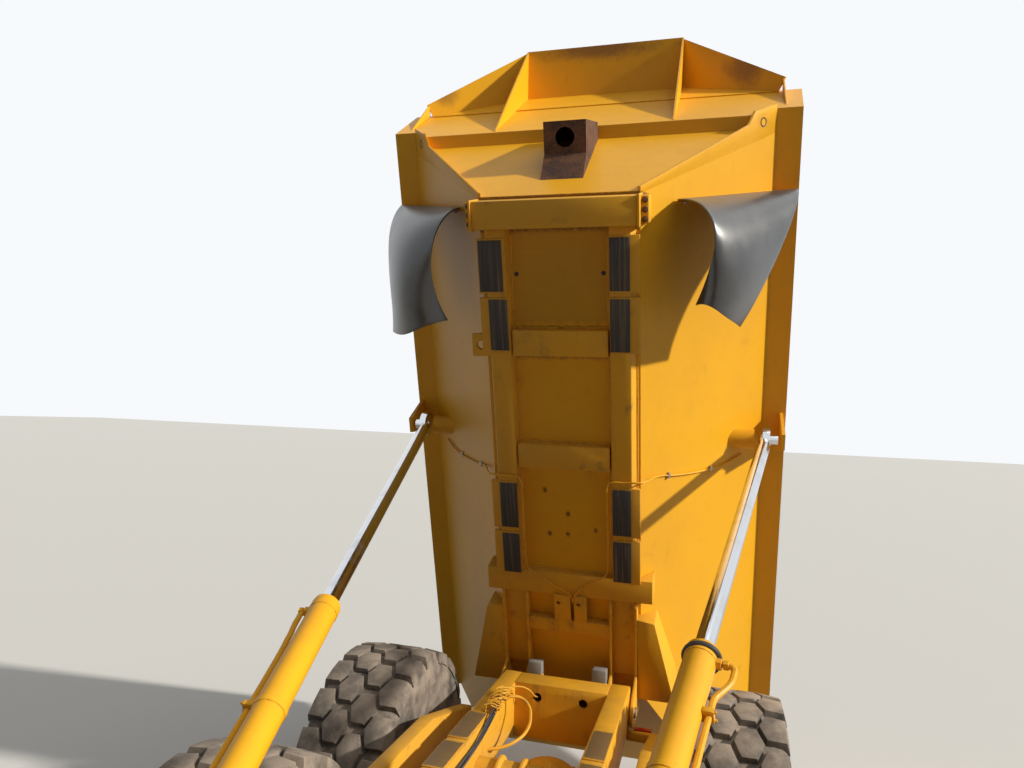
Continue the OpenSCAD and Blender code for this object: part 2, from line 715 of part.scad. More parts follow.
tractor_rail_x = [250, 330];
engine_z = 1120;
spring_z = 1060;
module tractor_frame() {
    color(yellow) on_ground() {
        difference() {
            union() {
                both_sides() side_plate(tractor_rail_x[0], tractor_rail_x[1] - tractor_rail_x[0], [
                    [bumper_back + seat_gap, 760], [bumper_back + seat_gap, 980], [-7300, 1120],
                    [-5500, 1120], [-5440, 1240], [-5400, 1240], [-5400, 640], [-5600, 640],
                    [-5900, 760], [-6080, 760], [-6180, 960], [-6600, 960], [-6700, 760]
                ]);
                block([-330, -5440, 640], [330, -5400, 1240]);
                for (z = [hitch_gap_z[0] - 60, hitch_gap_z[1] + 8]) hinge_ear(z);
                for (y = [-8500, -7780]) block([-300, y - 120, 800], [300, y, engine_z]);
                // Seats of the front axle's springs.
                both_sides() block([tractor_rail_x[1] - 10, -front_axle_front - 60, spring_z],
                    [620, -front_axle_front + 60, spring_z + 50]);
                for (z = [neck_z + 42, neck_z - 62]) both_sides()
                    block([tractor_rail_x[1] - 20, -6040, z], [570, -5880, z + 20]);
            }
            bar_z(500, 1400, 0, steer_y, 60 + pin_play);
        }
        bar_z(hitch_gap_z[0] - 75, hitch_gap_z[1] + 75, 0, steer_y, 60);
        both_sides() bar_z(neck_z - 62, neck_z + 62, steer_foot[0], steer_foot[1], steer_rod_r);
    }
}
module hinge_ear(z) {
    translate([0, 0, z]) linear_extrude(52) union() {
        polygon([[-330, -5440], [330, -5440], [330, -5400], [150, steer_y], [-150, steer_y],
            [-330, -5400]]);
        translate([0, steer_y]) circle(r = 150);
    }
}

module front_axle() {
    color(yellow) on_ground() {
        axle_housing(-front_axle_front);
        both_sides() bar_z(tyre_r + 60, spring_z - seat_gap, 560, -front_axle_front, 55);
    }
}

module engine_block() {
    color(grey) on_ground() block([-300, -8650, engine_z + seat_gap], [300, -7550, 1750]);
}

module deck_and_fenders() {
    color(yellow) on_ground() {
        both_sides() {
            side_plate(830, 600, [
                [-7330, 1330], [-7230, 1620], [-6950, 1730], [-5700, 1730], [-5560, 1690],
                [-5560, 1678], [-5705, 1718], [-6945, 1718], [-7222, 1608], [-7318, 1330]
            ]);
        }
        block([-831, -5700, 1718], [831, -5300, cab_floor_z - seat_gap]);
        // Posts on the rails, and tabs that carry the steps.
        both_sides() {
            block([tractor_rail_x[0], -5560, engine_z + seat_gap], [tractor_rail_x[1], -5500, 1719]);
            block([970, -7360, 1330], [1330, -7310, 1380]);
        }
    }
}

bumper_back = -nose_front + 240;
tow_bore_r = 26;
hood_y = -nose_front + 150;
hood_z = 1060;
hood_pin_r = 14;
hood_lug_x = 300;
hood_side_gap = 2;
module front_bumper() {
    color(yellow) on_ground() {
        difference() {
            block([-1150, -nose_front + 60, 640], [1150, bumper_back, 1000]);
            block([-120, -nose_front, 639], [120, -nose_front + 180, 900]);
        }
        // Lugs and pins that the hood tilts on.
        both_sides() {
            side_plate(hood_lug_x, 20, [
                [hood_y - 45, 999], [hood_y + 45, 999], [hood_y + 22, hood_z + 25], [hood_y - 22, hood_z + 25]
            ]);
            bar_x(hood_lug_x + 1, hood_lug_x + 45, hood_y, hood_z, hood_pin_r);
        }
        // Tow lugs, bored for one upright pin.
        difference() {
            for (z = [720, 830]) block([-80, -nose_front, z], [80, -nose_front + 190, z + 40]);
            bar_z(700, 900, 0, -nose_front + 60, tow_bore_r);
        }
    }
}

cab_x = 760;
cab_y = [-7150, -5560];
cab_floor_z = 1740;
wall_t = 45;
cab_side = [
    [cab_y[0], cab_floor_z], [cab_y[0] + 40, 2350], [cab_y[0] + 330, cab_top_z],
    [cab_y[1] - 30, cab_top_z], [cab_y[1], cab_floor_z]
];
module cab_shell() {
    color(yellow) on_ground() difference() {
        side_plate(-cab_x, 2 * cab_x, cab_side);
        side_plate(-cab_x + wall_t, 2 * (cab_x - wall_t), [
            [cab_y[0] + wall_t, cab_floor_z + 40], [cab_y[0] + 40 + wall_t, 2350],
            [cab_y[0] + 330 + wall_t, cab_top_z - 90], [cab_y[1] - 30 - wall_t, cab_top_z - 90],
            [cab_y[1] - wall_t, cab_floor_z + 40]
        ]);
        // Windscreen, rear and side windows.
        for (y = [[cab_y[0] - 10, cab_y[0] + 450], [cab_y[1] - 120, cab_y[1] + 10]])
            block([-window_x, y[0], window_low_z], [window_x, y[1], window_high_z]);
        block([-cab_x - 10, side_window_y[0], window_low_z],
            [-cab_x + 60, side_window_y[1], window_high_z]);
        block([cab_x - 60, door_y[1] + 60, window_low_z],
            [cab_x + 10, side_window_y[1], window_high_z]);
        block([cab_x - 60, door_y[0], door_z[0]], [cab_x + 10, door_y[1], door_z[1]]);
    }
    // Hinge leaves and pins of the door.
    color(yellow) on_ground() for (z = hinge_at_z) {
        difference() {
            block([cab_x - 1, door_y[0] - 50, z], [hinge_pin_x, door_y[0] + 4, z + 60]);
            bar_z(z - 1, z + 61, hinge_pin_x, door_y[0], 5);
        }
        bar_z(z, z + 60, hinge_pin_x, door_y[0], 12);
        bar_z(z, z + 108, hinge_pin_x, door_y[0], 6);
    }
}
side_window_y = [-6900, -5650];
door_y = [-6930, -6050];
door_z = [1850, 3250];
glass_t = 8;
window_x = cab_x - 90;
window_low_z = 2250;
window_high_z = cab_top_z - 170;
module cab_glass() {
    w = window_x - seat_gap;
    low = window_low_z + seat_gap;
    high = window_high_z - seat_gap;
    color(glass) on_ground() {
        side_plate(-w, 2 * w, [
            [cab_y[0] + 46, low], [cab_y[0] + 52, 2350], [cab_y[0] + 298, high],
            [cab_y[0] + 298 + glass_t, high], [cab_y[0] + 52 + glass_t, 2350],
            [cab_y[0] + 46 + glass_t, low]
        ]);
        block([-w, cab_y[1] - 45, low], [w, cab_y[1] - 45 + glass_t, high]);
        block([-cab_x + 15, side_window_y[0] + seat_gap, low],
            [-cab_x + 15 + glass_t, side_window_y[1] - seat_gap, high]);
        block([cab_x - 15 - glass_t, door_y[1] + 60 + seat_gap, low],
            [cab_x - 15, side_window_y[1] - seat_gap, high]);
    }
}
hinge_pin_x = cab_x + 12;
hinge_at_z = [2050, 2950];
door_window_z = [2250, 3150];
module cab_door() {
    g = pass_gap;
    color(yellow) on_ground() {
        difference() {
            block([cab_x - wall_t, door_y[0] + g, door_z[0] + g],
                [cab_x, door_y[1] - g, door_z[1] - g]);
            block([cab_x - wall_t - 1, door_y[0] + 90, door_window_z[0]],
                [cab_x + 1, door_y[1] - 90, door_window_z[1]]);
        }
        for (z = hinge_at_z) difference() {
            union() {
                bar_z(z + 60 + seat_gap, z + 106, hinge_pin_x, door_y[0], 12);
                block([cab_x - 1, door_y[0] + 9, z + 60 + seat_gap],
                    [hinge_pin_x - 2, door_y[0] + 60, z + 106]);
                block([hinge_pin_x - 9, door_y[0], z + 60 + seat_gap],
                    [hinge_pin_x + 1, door_y[0] + 20, z + 106]);
            }
            bar_z(z + 59, z + 107, hinge_pin_x, door_y[0], 6 + pin_play);
        }
    }
}
module door_glass() {
    color(glass) on_ground() block(
        [cab_x - 26, door_y[0] + 90 + seat_gap, door_window_z[0] + seat_gap],
        [cab_x - 26 + glass_t, door_y[1] - 90 - seat_gap, door_window_z[1] - seat_gap]);
}
module driver_seat() {
    color(black) on_ground() {
        side_plate(-240, 480, [
            [-6360, 1960], [-5860, 1960], [-5760, 2700], [-5860, 2740], [-5960, 2090], [-6360, 2080]
        ]);
        block([-180, -6250, cab_floor_z + 40 + seat_gap], [180, -5900, 1960]);
    }
}
module cab_controls() {
    color(black) on_ground() {
        block([-600, cab_y[0] + 90, cab_floor_z + 40 + seat_gap], [600, -6800, 2300]);
        // Steering wheel on its column.
        translate([0, -6650, 2330]) rotate([-25, 0, 0]) {
            difference() {
                cylinder(r = 225, h = 30);
                translate([0, 0, -1]) cylinder(r = 195, h = 32);
            }
            translate([0, 0, -420]) cylinder(r = 28, h = 440);
            for (a = [0, 120, 240]) rotate([0, 0, a]) translate([-15, 0, 8]) cube([30, 205, 14]);
        }
    }
}

hood_side = [[-9000, 1100], [-8960, 1900], [-8600, 2080], [-7200, 2300], [-7200, 1100]];
module hood_shell() {
    ear_x = hood_lug_x + 20 + hood_side_gap;
    color(yellow) on_ground() {
        difference() {
            side_plate(-560, 1120, hood_side);
            side_plate(-530, 1060, [
                [-8960, 1050], [-8930, 1880], [-8590, 2050], [-7100, 2270], [-7100, 1050]
            ]);
            block([-430, -9100, 1200], [430, -8900, 1850]);
        }
        // Ears on the pins of the bumper's lugs.
        both_sides() difference() {
            union() {
                bar_x(ear_x, ear_x + 16, hood_y, hood_z, 30);
                side_plate(ear_x, 16, [
                    [hood_y - 28, hood_z], [hood_y + 30, hood_z], [-8965, 1160], [-8998, 1160]
                ]);
            }
            bar_x(ear_x - 1, ear_x + 17, hood_y, hood_z, hood_pin_r + pin_play);
        }
    }
}
module radiator_grille() {
    color(black) on_ground() for (z = [1210:80:1800])
        block([-430 + seat_gap, -8985, z], [430 - seat_gap, -8960, z + 40]);
}
module headlamps() {
    color("#E8E8E0") on_ground() both_sides()
        bar_y(-nose_front + 40, -nose_front + 60 - seat_gap, 900, 860, 80);
}
module steps_and_rails() {
    color(black) on_ground() both_sides() {
        for (z = [700:280:1500]) block([990, -7560, z], [1310, -7380, z + 30]);
        for (x = [990, 1310]) {
            bar_z(600, 1640, x, -7470, 20);
            bar_y(-7470, -7360 - seat_gap, x, 1355, 16);
        }
    }
}
module exhaust_pipe() {
    color(rust) on_ground() {
        bar_z(exhaust_seat_z + seat_gap, 1790, -12, -3794, 60);
        bar_z(exhaust_seat_z + seat_gap, exhaust_seat_z + 15, -12, -3794, 90);
    }
}
module side_tanks() {
    color(yellow) on_ground() both_sides() {
        block([850, -8400, 800], [1300, -7700, 1300]);
        for (y = [-8300, -7880])
            block([tractor_rail_x[1] + seat_gap, y, 830], [851, y + 80, 910]);
    }
}
module mirrors() {
    color(black) on_ground() both_sides() {
        bar_x(cab_x + seat_gap, 1180, -7000, 2400, 16);
        block([1120, -7030, 2380], [1320, -6980, 2800]);
    }
}

tractor_frame();
front_axle();
engine_block();
deck_and_fenders();
front_bumper();
cab_shell();
cab_glass();
driver_seat();
cab_controls();
steps_and_rails();
exhaust_pipe();
side_tanks();
mirrors();
headlamps();
hood_shell();
radiator_grille();
cab_door();
door_glass();
hitch();
trailer_frame();
bogie_axles();
bogie_beams();
drive_shafts();
tip_pins();
bump_stops();
tail_lamps();
body_shell();
body_underframe();
wear_pads();
mud_flaps();
exhaust_inlet();
hoist_barrel_left();
hoist_barrel_right();
hoist_rod_left();
hoist_rod_right();
steer_barrel_left();
steer_barrel_right();
steer_rod_left();
steer_rod_right();
tyre_front_left();
tyre_front_right();
tyre_mid_left();
tyre_mid_right();
tyre_rear_left();
tyre_rear_right();
rim_front_left();
rim_front_right();
rim_mid_left();
rim_mid_right();
rim_rear_left();
rim_rear_right();
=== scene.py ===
"""Looks of an articulated dump truck with its load body raised.

The rigid shapes come packed from the part's own source. This file gives them their finishes and adds
the pieces that only matter to the eye: tread blocks, flaps, bolts, pipes, hoses and weld beads.
Lengths are metres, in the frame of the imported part: +X is the truck's left, -Y its front, +Z up.
"""

from __future__ import annotations

import json
import logging
import math
import random
from collections.abc import Callable, Iterator
from contextlib import contextmanager
from dataclasses import dataclass, field
from enum import Enum

import bpy
from mathutils import Matrix, Vector

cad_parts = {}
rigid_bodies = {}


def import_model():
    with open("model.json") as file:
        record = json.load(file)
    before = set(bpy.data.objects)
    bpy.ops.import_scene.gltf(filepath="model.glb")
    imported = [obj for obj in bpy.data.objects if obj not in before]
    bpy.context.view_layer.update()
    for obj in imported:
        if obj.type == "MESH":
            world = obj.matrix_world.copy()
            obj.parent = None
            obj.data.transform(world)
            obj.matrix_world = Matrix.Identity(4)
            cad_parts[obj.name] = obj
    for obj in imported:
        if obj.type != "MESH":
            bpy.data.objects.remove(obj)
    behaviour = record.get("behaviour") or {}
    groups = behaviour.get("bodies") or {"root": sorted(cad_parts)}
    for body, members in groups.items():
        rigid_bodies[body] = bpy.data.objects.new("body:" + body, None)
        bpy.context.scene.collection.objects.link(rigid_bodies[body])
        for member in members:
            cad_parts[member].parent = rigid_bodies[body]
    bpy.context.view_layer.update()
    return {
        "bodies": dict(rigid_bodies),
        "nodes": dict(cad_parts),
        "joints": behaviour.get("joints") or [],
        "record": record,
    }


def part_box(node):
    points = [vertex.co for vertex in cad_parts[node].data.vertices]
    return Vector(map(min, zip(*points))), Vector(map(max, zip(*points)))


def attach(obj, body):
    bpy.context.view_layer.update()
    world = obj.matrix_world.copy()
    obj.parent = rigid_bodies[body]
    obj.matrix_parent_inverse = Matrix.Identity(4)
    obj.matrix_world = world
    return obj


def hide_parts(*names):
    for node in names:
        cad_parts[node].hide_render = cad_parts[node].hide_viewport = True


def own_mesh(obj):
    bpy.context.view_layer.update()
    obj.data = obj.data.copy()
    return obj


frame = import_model()

log = logging.getLogger("dump_truck")

Piece = bpy.types.Object
Finish = bpy.types.Material
Socket = bpy.types.NodeSocket
Triple = tuple[float, float, float]
Colour = Triple
Pair = tuple[float, float]
Feed = Socket | Triple | float


class Side(Enum):
    """The two sides of the truck, with the sign of X there."""

    LEFT = 1
    RIGHT = -1

    @property
    def word(self) -> str:
        """The side's name as the record writes it."""
        return self.name.lower()


class Slot(Enum):
    """The record's material slots."""

    BODY_PAINT = "body_paint"
    FRAME_PAINT = "frame_paint"
    BLACK_STEEL = "black_steel"
    RUSTY_STEEL = "rusty_steel"
    TYRE_RUBBER = "tyre_rubber"
    FLAP_RUBBER = "flap_rubber"
    CHROME_ROD = "chrome_rod"
    BARE_STEEL = "bare_steel"
    WINDOW_GLASS = "window_glass"
    LAMP_LENS = "lamp_lens"
    RED_LENS = "red_lens"
    SEAT_FABRIC = "seat_fabric"
    DASH_PLASTIC = "dash_plastic"
    GREY_RUBBER = "grey_rubber"


def joint_place(name: str) -> Vector:
    """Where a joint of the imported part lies, in metres."""
    return Vector(next(j["pos_m"] for j in frame["joints"] if j["name"] == name))


HINGE = joint_place("tip")
TIP_ANGLE = math.radians(70.0)
TIP_COS, TIP_SIN = math.cos(TIP_ANGLE), math.sin(TIP_ANGLE)
# The raised body's own directions: ahead along its floor and square up from it.
BODY_AHEAD = Vector((0.0, -TIP_COS, TIP_SIN))
BODY_UP = Vector((0.0, TIP_SIN, TIP_COS))
# Measures across, ahead and up on the lowered load body to its raised place.
BODY = Matrix.Translation(HINGE) @ Matrix((
    (1.0, 0.0, 0.0), (0.0, -TIP_COS, TIP_SIN), (0.0, TIP_SIN, TIP_COS),
)).to_4x4()
# Measures from the tip hinge along the ground.
GROUND = Matrix.Translation((0.0, HINGE.y, 0.0))
# Rise of the load body's flank for each metre outwards.
FLANK_SLOPE = 1.25
# Lays the X axis of a turned part along Y, or along the Z axis of a placement.
ALONG_Y = Matrix.Rotation(math.pi / 2, 4, "Z")
OUT_OF_PLATE = Matrix.Rotation(math.radians(-90.0), 4, "Y")


def on_body(x: float, forward: float, up: float) -> Vector:
    """A point of the raised load body from its lowered measures.

    Args:
        x: across the truck, left positive.
        forward: ahead of the tip hinge along the body's floor.
        up: above the tip hinge, square to the floor.

    Returns:
        The point as the body stands raised.
    """
    return Vector((
        x, HINGE.y - forward * TIP_COS + up * TIP_SIN, HINGE.z + forward * TIP_SIN + up * TIP_COS,
    ))


# Finishes


class Graph:
    """A small helper that adds and links the nodes of one material."""

    def __init__(self, name: str) -> None:
        """Starts an empty material with a Principled shader.

        Args:
            name: the material's name.
        """
        self.material = bpy.data.materials.new(name)
        self.material.use_nodes = True
        self.tree = self.material.node_tree
        self.shader = self.tree.nodes["Principled BSDF"]
        self.coordinates = self.tree.nodes.new("ShaderNodeTexCoord").outputs["Object"]

    def feed(self, target: Socket, value: Feed) -> None:
        """Links a socket to an input, or sets the input to a number, a vector or a colour.

        Args:
            target: the input.
            value: what goes into it.
        """
        if isinstance(value, Socket):
            self.tree.links.new(value, target)
        else:
            target.default_value = (*value, 1.0) if target.type == "RGBA" else value

    def add(self, kind: str, feeds: dict[str | int, Feed] | None = None, **settings: object) -> bpy.types.Node:
        """Adds one node.

        Args:
            kind: the node's type name.
            feeds: what goes into its inputs, by their names or numbers.
            settings: properties to set on it.

        Returns:
            The node.
        """
        node = self.tree.nodes.new(kind)
        for key, value in settings.items():
            setattr(node, key, value)
        for key, value in (feeds or {}).items():
            self.feed(node.inputs[key], value)
        return node

    def drive(self, **feeds: Feed) -> None:
        """Feeds the shader's inputs, each named with _ for its spaces."""
        for key, value in feeds.items():
            self.feed(self.shader.inputs[key.replace("_", " ")], value)

    def scaled(self, value: Socket, factor: Socket | float) -> Socket:
        """A value times a factor, held between 0 and 1."""
        return self.math("MULTIPLY", value, factor)

    def summed(self, first: Socket, second: Socket | float) -> Socket:
        """The sum of two values, held between 0 and 1."""
        return self.math("ADD", first, second)

    def most(self, first: Socket, second: Socket) -> Socket:
        """The greater of two values, held between 0 and 1."""
        return self.math("MAXIMUM", first, second)

    def stretched(self, scale: Triple) -> Socket:
        """Object coordinates scaled along X, Y and Z."""
        return self.add("ShaderNodeMapping", {"Scale": scale, "Vector": self.coordinates}).outputs["Vector"]

    def noise(
        self,
        scale: float,
        detail: float = 4.0,
        rough: float = 0.55,
        vector: Socket | None = None,
        distortion: float = 0.0,
    ) -> Socket:
        """A noise value from 0 to 1.

        Args:
            scale: repeats per metre.
            detail: number of finer layers.
            rough: weight of the finer layers.
            vector: coordinates, or None for plain object coordinates.
            distortion: how far the pattern is warped.

        Returns:
            The noise.
        """
        feeds = {"Scale": scale, "Detail": detail, "Roughness": rough, "Distortion": distortion}
        feeds["Vector"] = vector or self.coordinates
        return self.add("ShaderNodeTexNoise", feeds).outputs["Fac"]

    def ramp(self, value: Socket, low: float, high: float) -> Socket:
        """Stretches the part of a value between two levels to 0 and 1.

        Args:
            value: what is stretched.
            low: the level that becomes 0.
            high: the level that becomes 1.

        Returns:
            The stretched value.
        """
        feeds = {"From Min": low, "From Max": high, "Value": value}
        node = self.add("ShaderNodeMapRange", feeds, interpolation_type="SMOOTHSTEP")
        return node.outputs["Result"]

    def math(self, operation: str, first: Socket | float, second: Socket | float, clamp: bool = True) -> Socket:
        """One of the Math node's operations on two values, held between 0 and 1 where it is clamped."""
        node = self.add("ShaderNodeMath", {0: first, 1: second}, operation=operation, use_clamp=clamp)
        return node.outputs[0]

    def blend(self, share: Socket, first: Socket | Colour, second: Socket | Colour) -> Socket:
        """Blends two colours, from the first where the share is 0 to the second where it is 1."""
        return self.add("ShaderNodeMix", {"Factor": share, 6: first, 7: second}, data_type="RGBA").outputs[2]

    def edges(self, radius: float) -> Socket:
        """A value that rises along sharp edges.

        Args:
            radius: how far from an edge it reaches.

        Returns:
            0 on flat faces, more at edges.
        """
        bevel = self.add("ShaderNodeBevel", {"Radius": radius}, samples=4)
        geometry = self.add("ShaderNodeNewGeometry")
        normals = {0: bevel.outputs["Normal"], 1: geometry.outputs["True Normal"]}
        dot = self.add("ShaderNodeVectorMath", normals, operation="DOT_PRODUCT")
        return self.math("SUBTRACT", 1.0, dot.outputs["Value"])

    def facing_up(self) -> Socket:
        """How far a face looks upwards, from 0 to 1.

        Returns:
            The value.
        """
        geometry = self.add("ShaderNodeNewGeometry")
        parts = self.add("ShaderNodeSeparateXYZ", {0: geometry.outputs["Normal"]})
        return self.ramp(parts.outputs["Z"], 0.25, 0.95)

    def bump(self, height: Socket, strength: float, distance: float) -> None:
        """Raises the surface by a height, of which 1 stands for a distance in metres."""
        node = self.add("ShaderNodeBump", {"Strength": strength, "Distance": distance, "Height": height})
        self.drive(Normal=node.outputs["Normal"])

    def stained(self, stain: Stain, patch: Socket, fine: Socket) -> Socket:
        """How strongly a patch of another tone covers each point; on the load body one such patch is painted shade.

        Args:
            stain: the patch.
            patch: a coarse noise that breaks up its outline.
            fine: a fine noise that does the same.

        Returns:
            From 0 outside it to its share inside.
        """
        away = self.add("ShaderNodeVectorMath", {0: self.coordinates, 1: stain.centre}, operation="SUBTRACT")
        shares = self.add("ShaderNodeVectorMath", {0: away.outputs[0], 1: stain.reach}, operation="DIVIDE")
        if stain.boxed:
            flat = self.add("ShaderNodeVectorMath", {0: shares.outputs[0]}, operation="ABSOLUTE")
            parts = self.add("ShaderNodeSeparateXYZ", {0: flat.outputs[0]})
            distance = self.math("MAXIMUM", parts.outputs["X"], parts.outputs["Y"], clamp=False)
            distance = self.math("MAXIMUM", distance, parts.outputs["Z"], clamp=False)
            ragged = self.scaled(fine, 0.25)
            edge = (1.12, 1.02)
        else:
            length = self.add("ShaderNodeVectorMath", {0: shares.outputs[0]}, operation="LENGTH")
            distance = length.outputs["Value"]
            ragged = self.math("ADD", self.scaled(patch, 1.1), self.scaled(fine, 0.5), clamp=False)
            edge = (1.75, 0.95)
        distance = self.math("ADD", distance, ragged, clamp=False)
        return self.scaled(self.ramp(distance, *edge), stain.share)


@dataclass(frozen=True)
class Stain:
    """A patch of another tone at one place of a finish.

    Attributes:
        centre: its middle.
        reach: how far it goes along each axis.
        colour: its tone.
        share: how much of the surface it takes in its middle.
        boxed: a box with ragged edges instead of a round patch.
    """

    centre: Triple
    reach: Triple
    colour: Colour
    share: float = 0.8
    boxed: bool = False


@dataclass(frozen=True)
class Paint:
    """Worn paint over steel: faded patches, grime, rust at the edges and in spots.

    Attributes:
        name: the material's name.
        colour: fresh paint.
        faded: paint where it has dulled.
        grime: dust and oil film.
        rust: bare rusted steel.
        grime_share: how much of the surface the grime takes.
        rust_share: how much of the surface the rust takes.
        edge: how far from an edge the paint is worn.
        roughness: of clean paint.
        sheen: brightness of its gloss.
        stains: patches of another tone at set places; on the load body's paint they are stains, and one is painted
            shade.
    """

    name: str
    colour: Colour
    faded: Colour
    grime: Colour = (0.20, 0.12, 0.05)
    rust: Colour = (0.16, 0.065, 0.03)
    grime_share: float = 0.30
    rust_share: float = 0.10
    edge: float = 0.006
    roughness: float = 0.42
    sheen: float = 0.25
    stains: tuple[Stain, ...] = ()

    def build(self) -> Finish:
        """Makes the material.

        Returns:
            The material.
        """
        g = Graph(self.name)
        wide = g.noise(0.7, 5.0, 0.6)
        patch = g.noise(4.0, 6.0, 0.65, distortion=0.6)
        fine = g.noise(38.0, 6.0, 0.7)
        runs = g.noise(1.0, 6.0, 0.6, g.stretched((16.0, 16.0, 1.1)))
        scratch = g.noise(1.0, 2.0, 0.5, g.stretched((3.0, 90.0, 70.0)), 0.4)
        base = g.blend(g.ramp(wide, 0.38, 0.66), self.colour, self.faded)
        grime_at = g.scaled(g.ramp(patch, 0.50, 0.74), g.ramp(runs, 0.42, 0.70))
        grime_at = g.scaled(grime_at, self.grime_share * 3.0)
        dust_at = g.scaled(g.facing_up(), 0.08 + self.grime_share * 0.35)
        dust_at = g.scaled(dust_at, g.ramp(patch, 0.30, 0.62))
        base = g.blend(g.most(grime_at, dust_at), base, self.grime)
        for stain in self.stains:
            base = g.blend(g.stained(stain, patch, fine), base, stain.colour)
        scuff = g.scaled(g.ramp(scratch, 0.66, 0.72), 0.30)
        base = g.blend(scuff, base, self.faded)
        chipped = g.scaled(g.ramp(g.edges(self.edge), 0.02, 0.16), g.ramp(fine, 0.46, 0.58))
        spots = g.scaled(g.ramp(fine, 0.60, 0.68), g.ramp(patch, 0.56, 0.76))
        rust_at = g.most(chipped, g.scaled(spots, self.rust_share * 9.0))
        rust_tone = g.blend(g.ramp(fine, 0.35, 0.75), self.rust, (0.30, 0.13, 0.05))
        dull = g.summed(g.scaled(rust_at, 0.45), g.scaled(grime_at, 0.30))
        rough = g.summed(g.scaled(fine, 0.12), self.roughness - 0.06)
        g.drive(Base_Color=g.blend(rust_at, base, rust_tone), Roughness=g.summed(rough, dull))
        height = g.math("SUBTRACT", g.scaled(wide, 0.9), g.scaled(rust_at, 0.06))
        g.drive(Specular_IOR_Level=self.sheen)
        g.bump(height, 0.35, 0.012)
        return g.material


@dataclass(frozen=True)
class Rubber:
    """Rubber with dust on it.

    Attributes:
        name: the material's name.
        colour: clean rubber.
        dust: dried mud.
        dust_share: how much of the surface the mud takes.
        roughness: of clean rubber.
        grain: height of the surface grain.
        sheen: brightness of its gloss.
    """

    name: str
    colour: Colour
    dust: Colour
    dust_share: float = 0.5
    roughness: float = 0.75
    grain: float = 0.002
    sheen: float = 0.5

    def build(self) -> Finish:
        """Makes the material.

        Returns:
            The material.
        """
        g = Graph(self.name)
        patch = g.noise(5.0, 6.0, 0.62)
        fine = g.noise(120.0, 4.0, 0.6)
        cover = g.scaled(g.ramp(patch, 0.30, 0.68), self.dust_share)
        cover = g.summed(cover, g.scaled(g.ramp(fine, 0.5, 0.8), self.dust_share * 0.3))
        cover = g.summed(cover, g.scaled(g.facing_up(), self.dust_share * 0.3))
        rough = g.summed(g.scaled(cover, 0.22), self.roughness)
        tone = g.blend(cover, self.colour, self.dust)
        g.drive(Base_Color=tone, Roughness=rough, Specular_IOR_Level=self.sheen)
        g.bump(g.summed(g.scaled(fine, 0.5), g.scaled(patch, 0.5)), 0.6, self.grain)
        return g.material


@dataclass(frozen=True)
class WearPad:
    """Black rubber pads with ribs and streaks of rust and mud along the load body.

    Attributes:
        name: the material's name.
        colour: the rubber.
        streak: what has run down between the ribs.
        ribs: ribs per metre across the truck.
    """

    name: str
    colour: Colour = (0.020, 0.016, 0.013)
    streak: Colour = (0.115, 0.080, 0.045)
    ribs: float = 52.0

    def build(self) -> Finish:
        """Makes the material.

        Returns:
            The material.
        """
        g = Graph(self.name)
        ribs = g.noise(1.0, 3.0, 0.5, g.stretched((self.ribs, 1.2, 1.2)))
        fine = g.noise(1.0, 4.0, 0.6, g.stretched((210.0, 9.0, 9.0)))
        tone = g.blend(g.ramp(ribs, 0.48, 0.66), self.colour, self.streak)
        tone = g.blend(g.scaled(g.ramp(fine, 0.52, 0.72), 0.5), tone, (0.055, 0.045, 0.036))
        g.drive(Base_Color=tone, Roughness=0.7)
        g.bump(g.summed(g.scaled(ribs, 0.7), g.scaled(fine, 0.3)), 0.8, 0.006)
        return g.material


@dataclass(frozen=True)
class Metal:
    """Bare metal.

    Attributes:
        name: the material's name.
        colour: of its reflection.
        stain: of oil and dirt on it.
        stain_share: how much of the surface the stain takes.
        roughness: where it is clean.
    """

    name: str
    colour: Colour
    stain: Colour
    stain_share: float = 0.2
    roughness: float = 0.2

    def build(self) -> Finish:
        """Makes the material.

        Returns:
            The material.
        """
        g = Graph(self.name)
        patch = g.noise(6.0, 6.0, 0.6)
        fine = g.noise(90.0, 5.0, 0.6)
        stained = g.scaled(g.ramp(patch, 0.45, 0.72), self.stain_share)
        rough = g.summed(g.scaled(fine, 0.08), self.roughness)
        rough = g.summed(rough, g.scaled(stained, 0.5))
        g.drive(Base_Color=g.blend(stained, self.colour, self.stain), Roughness=rough, Metallic=1.0)
        g.bump(fine, 0.15, 0.0004)
        return g.material


@dataclass(frozen=True)
class Rust:
    """Steel that has rusted through its paint.

    Attributes:
        name: the material's name.
        dark: the deepest tone.
        light: the brightest tone.
        stains: patches at set places.
    """

    name: str
    dark: Colour = (0.030, 0.013, 0.008)
    light: Colour = (0.150, 0.062, 0.028)
    stains: tuple[Stain, ...] = ()

    def build(self) -> Finish:
        """Makes the material.

        Returns:
            The material.
        """
        g = Graph(self.name)
        patch = g.noise(7.0, 8.0, 0.7)
        fine = g.noise(70.0, 6.0, 0.7)
        tone = g.blend(g.ramp(patch, 0.35, 0.68), self.dark, self.light)
        tone = g.blend(g.ramp(fine, 0.5, 0.8), tone, (0.23, 0.11, 0.05))
        for stain in self.stains:
            tone = g.blend(g.stained(stain, patch, fine), tone, stain.colour)
        g.drive(Base_Color=tone, Roughness=0.86)
        g.bump(g.summed(g.scaled(fine, 0.6), g.scaled(patch, 0.4)), 0.7, 0.003)
        return g.material


@dataclass(frozen=True)
class Glass:
    """Tinted safety glass with a little dust.

    Attributes:
        name: the material's name.
        colour: the tint.
    """

    name: str
    colour: Colour

    def build(self) -> Finish:
        """Makes the material.

        Returns:
            The material.
        """
        g = Graph(self.name)
        dust = g.ramp(g.noise(3.0, 6.0, 0.6), 0.45, 0.85)
        tone = g.blend(g.scaled(dust, 0.25), self.colour, (0.5, 0.45, 0.36))
        g.drive(Base_Color=tone, Roughness=g.scaled(dust, 0.18), Transmission_Weight=0.92, IOR=1.46)
        return g.material


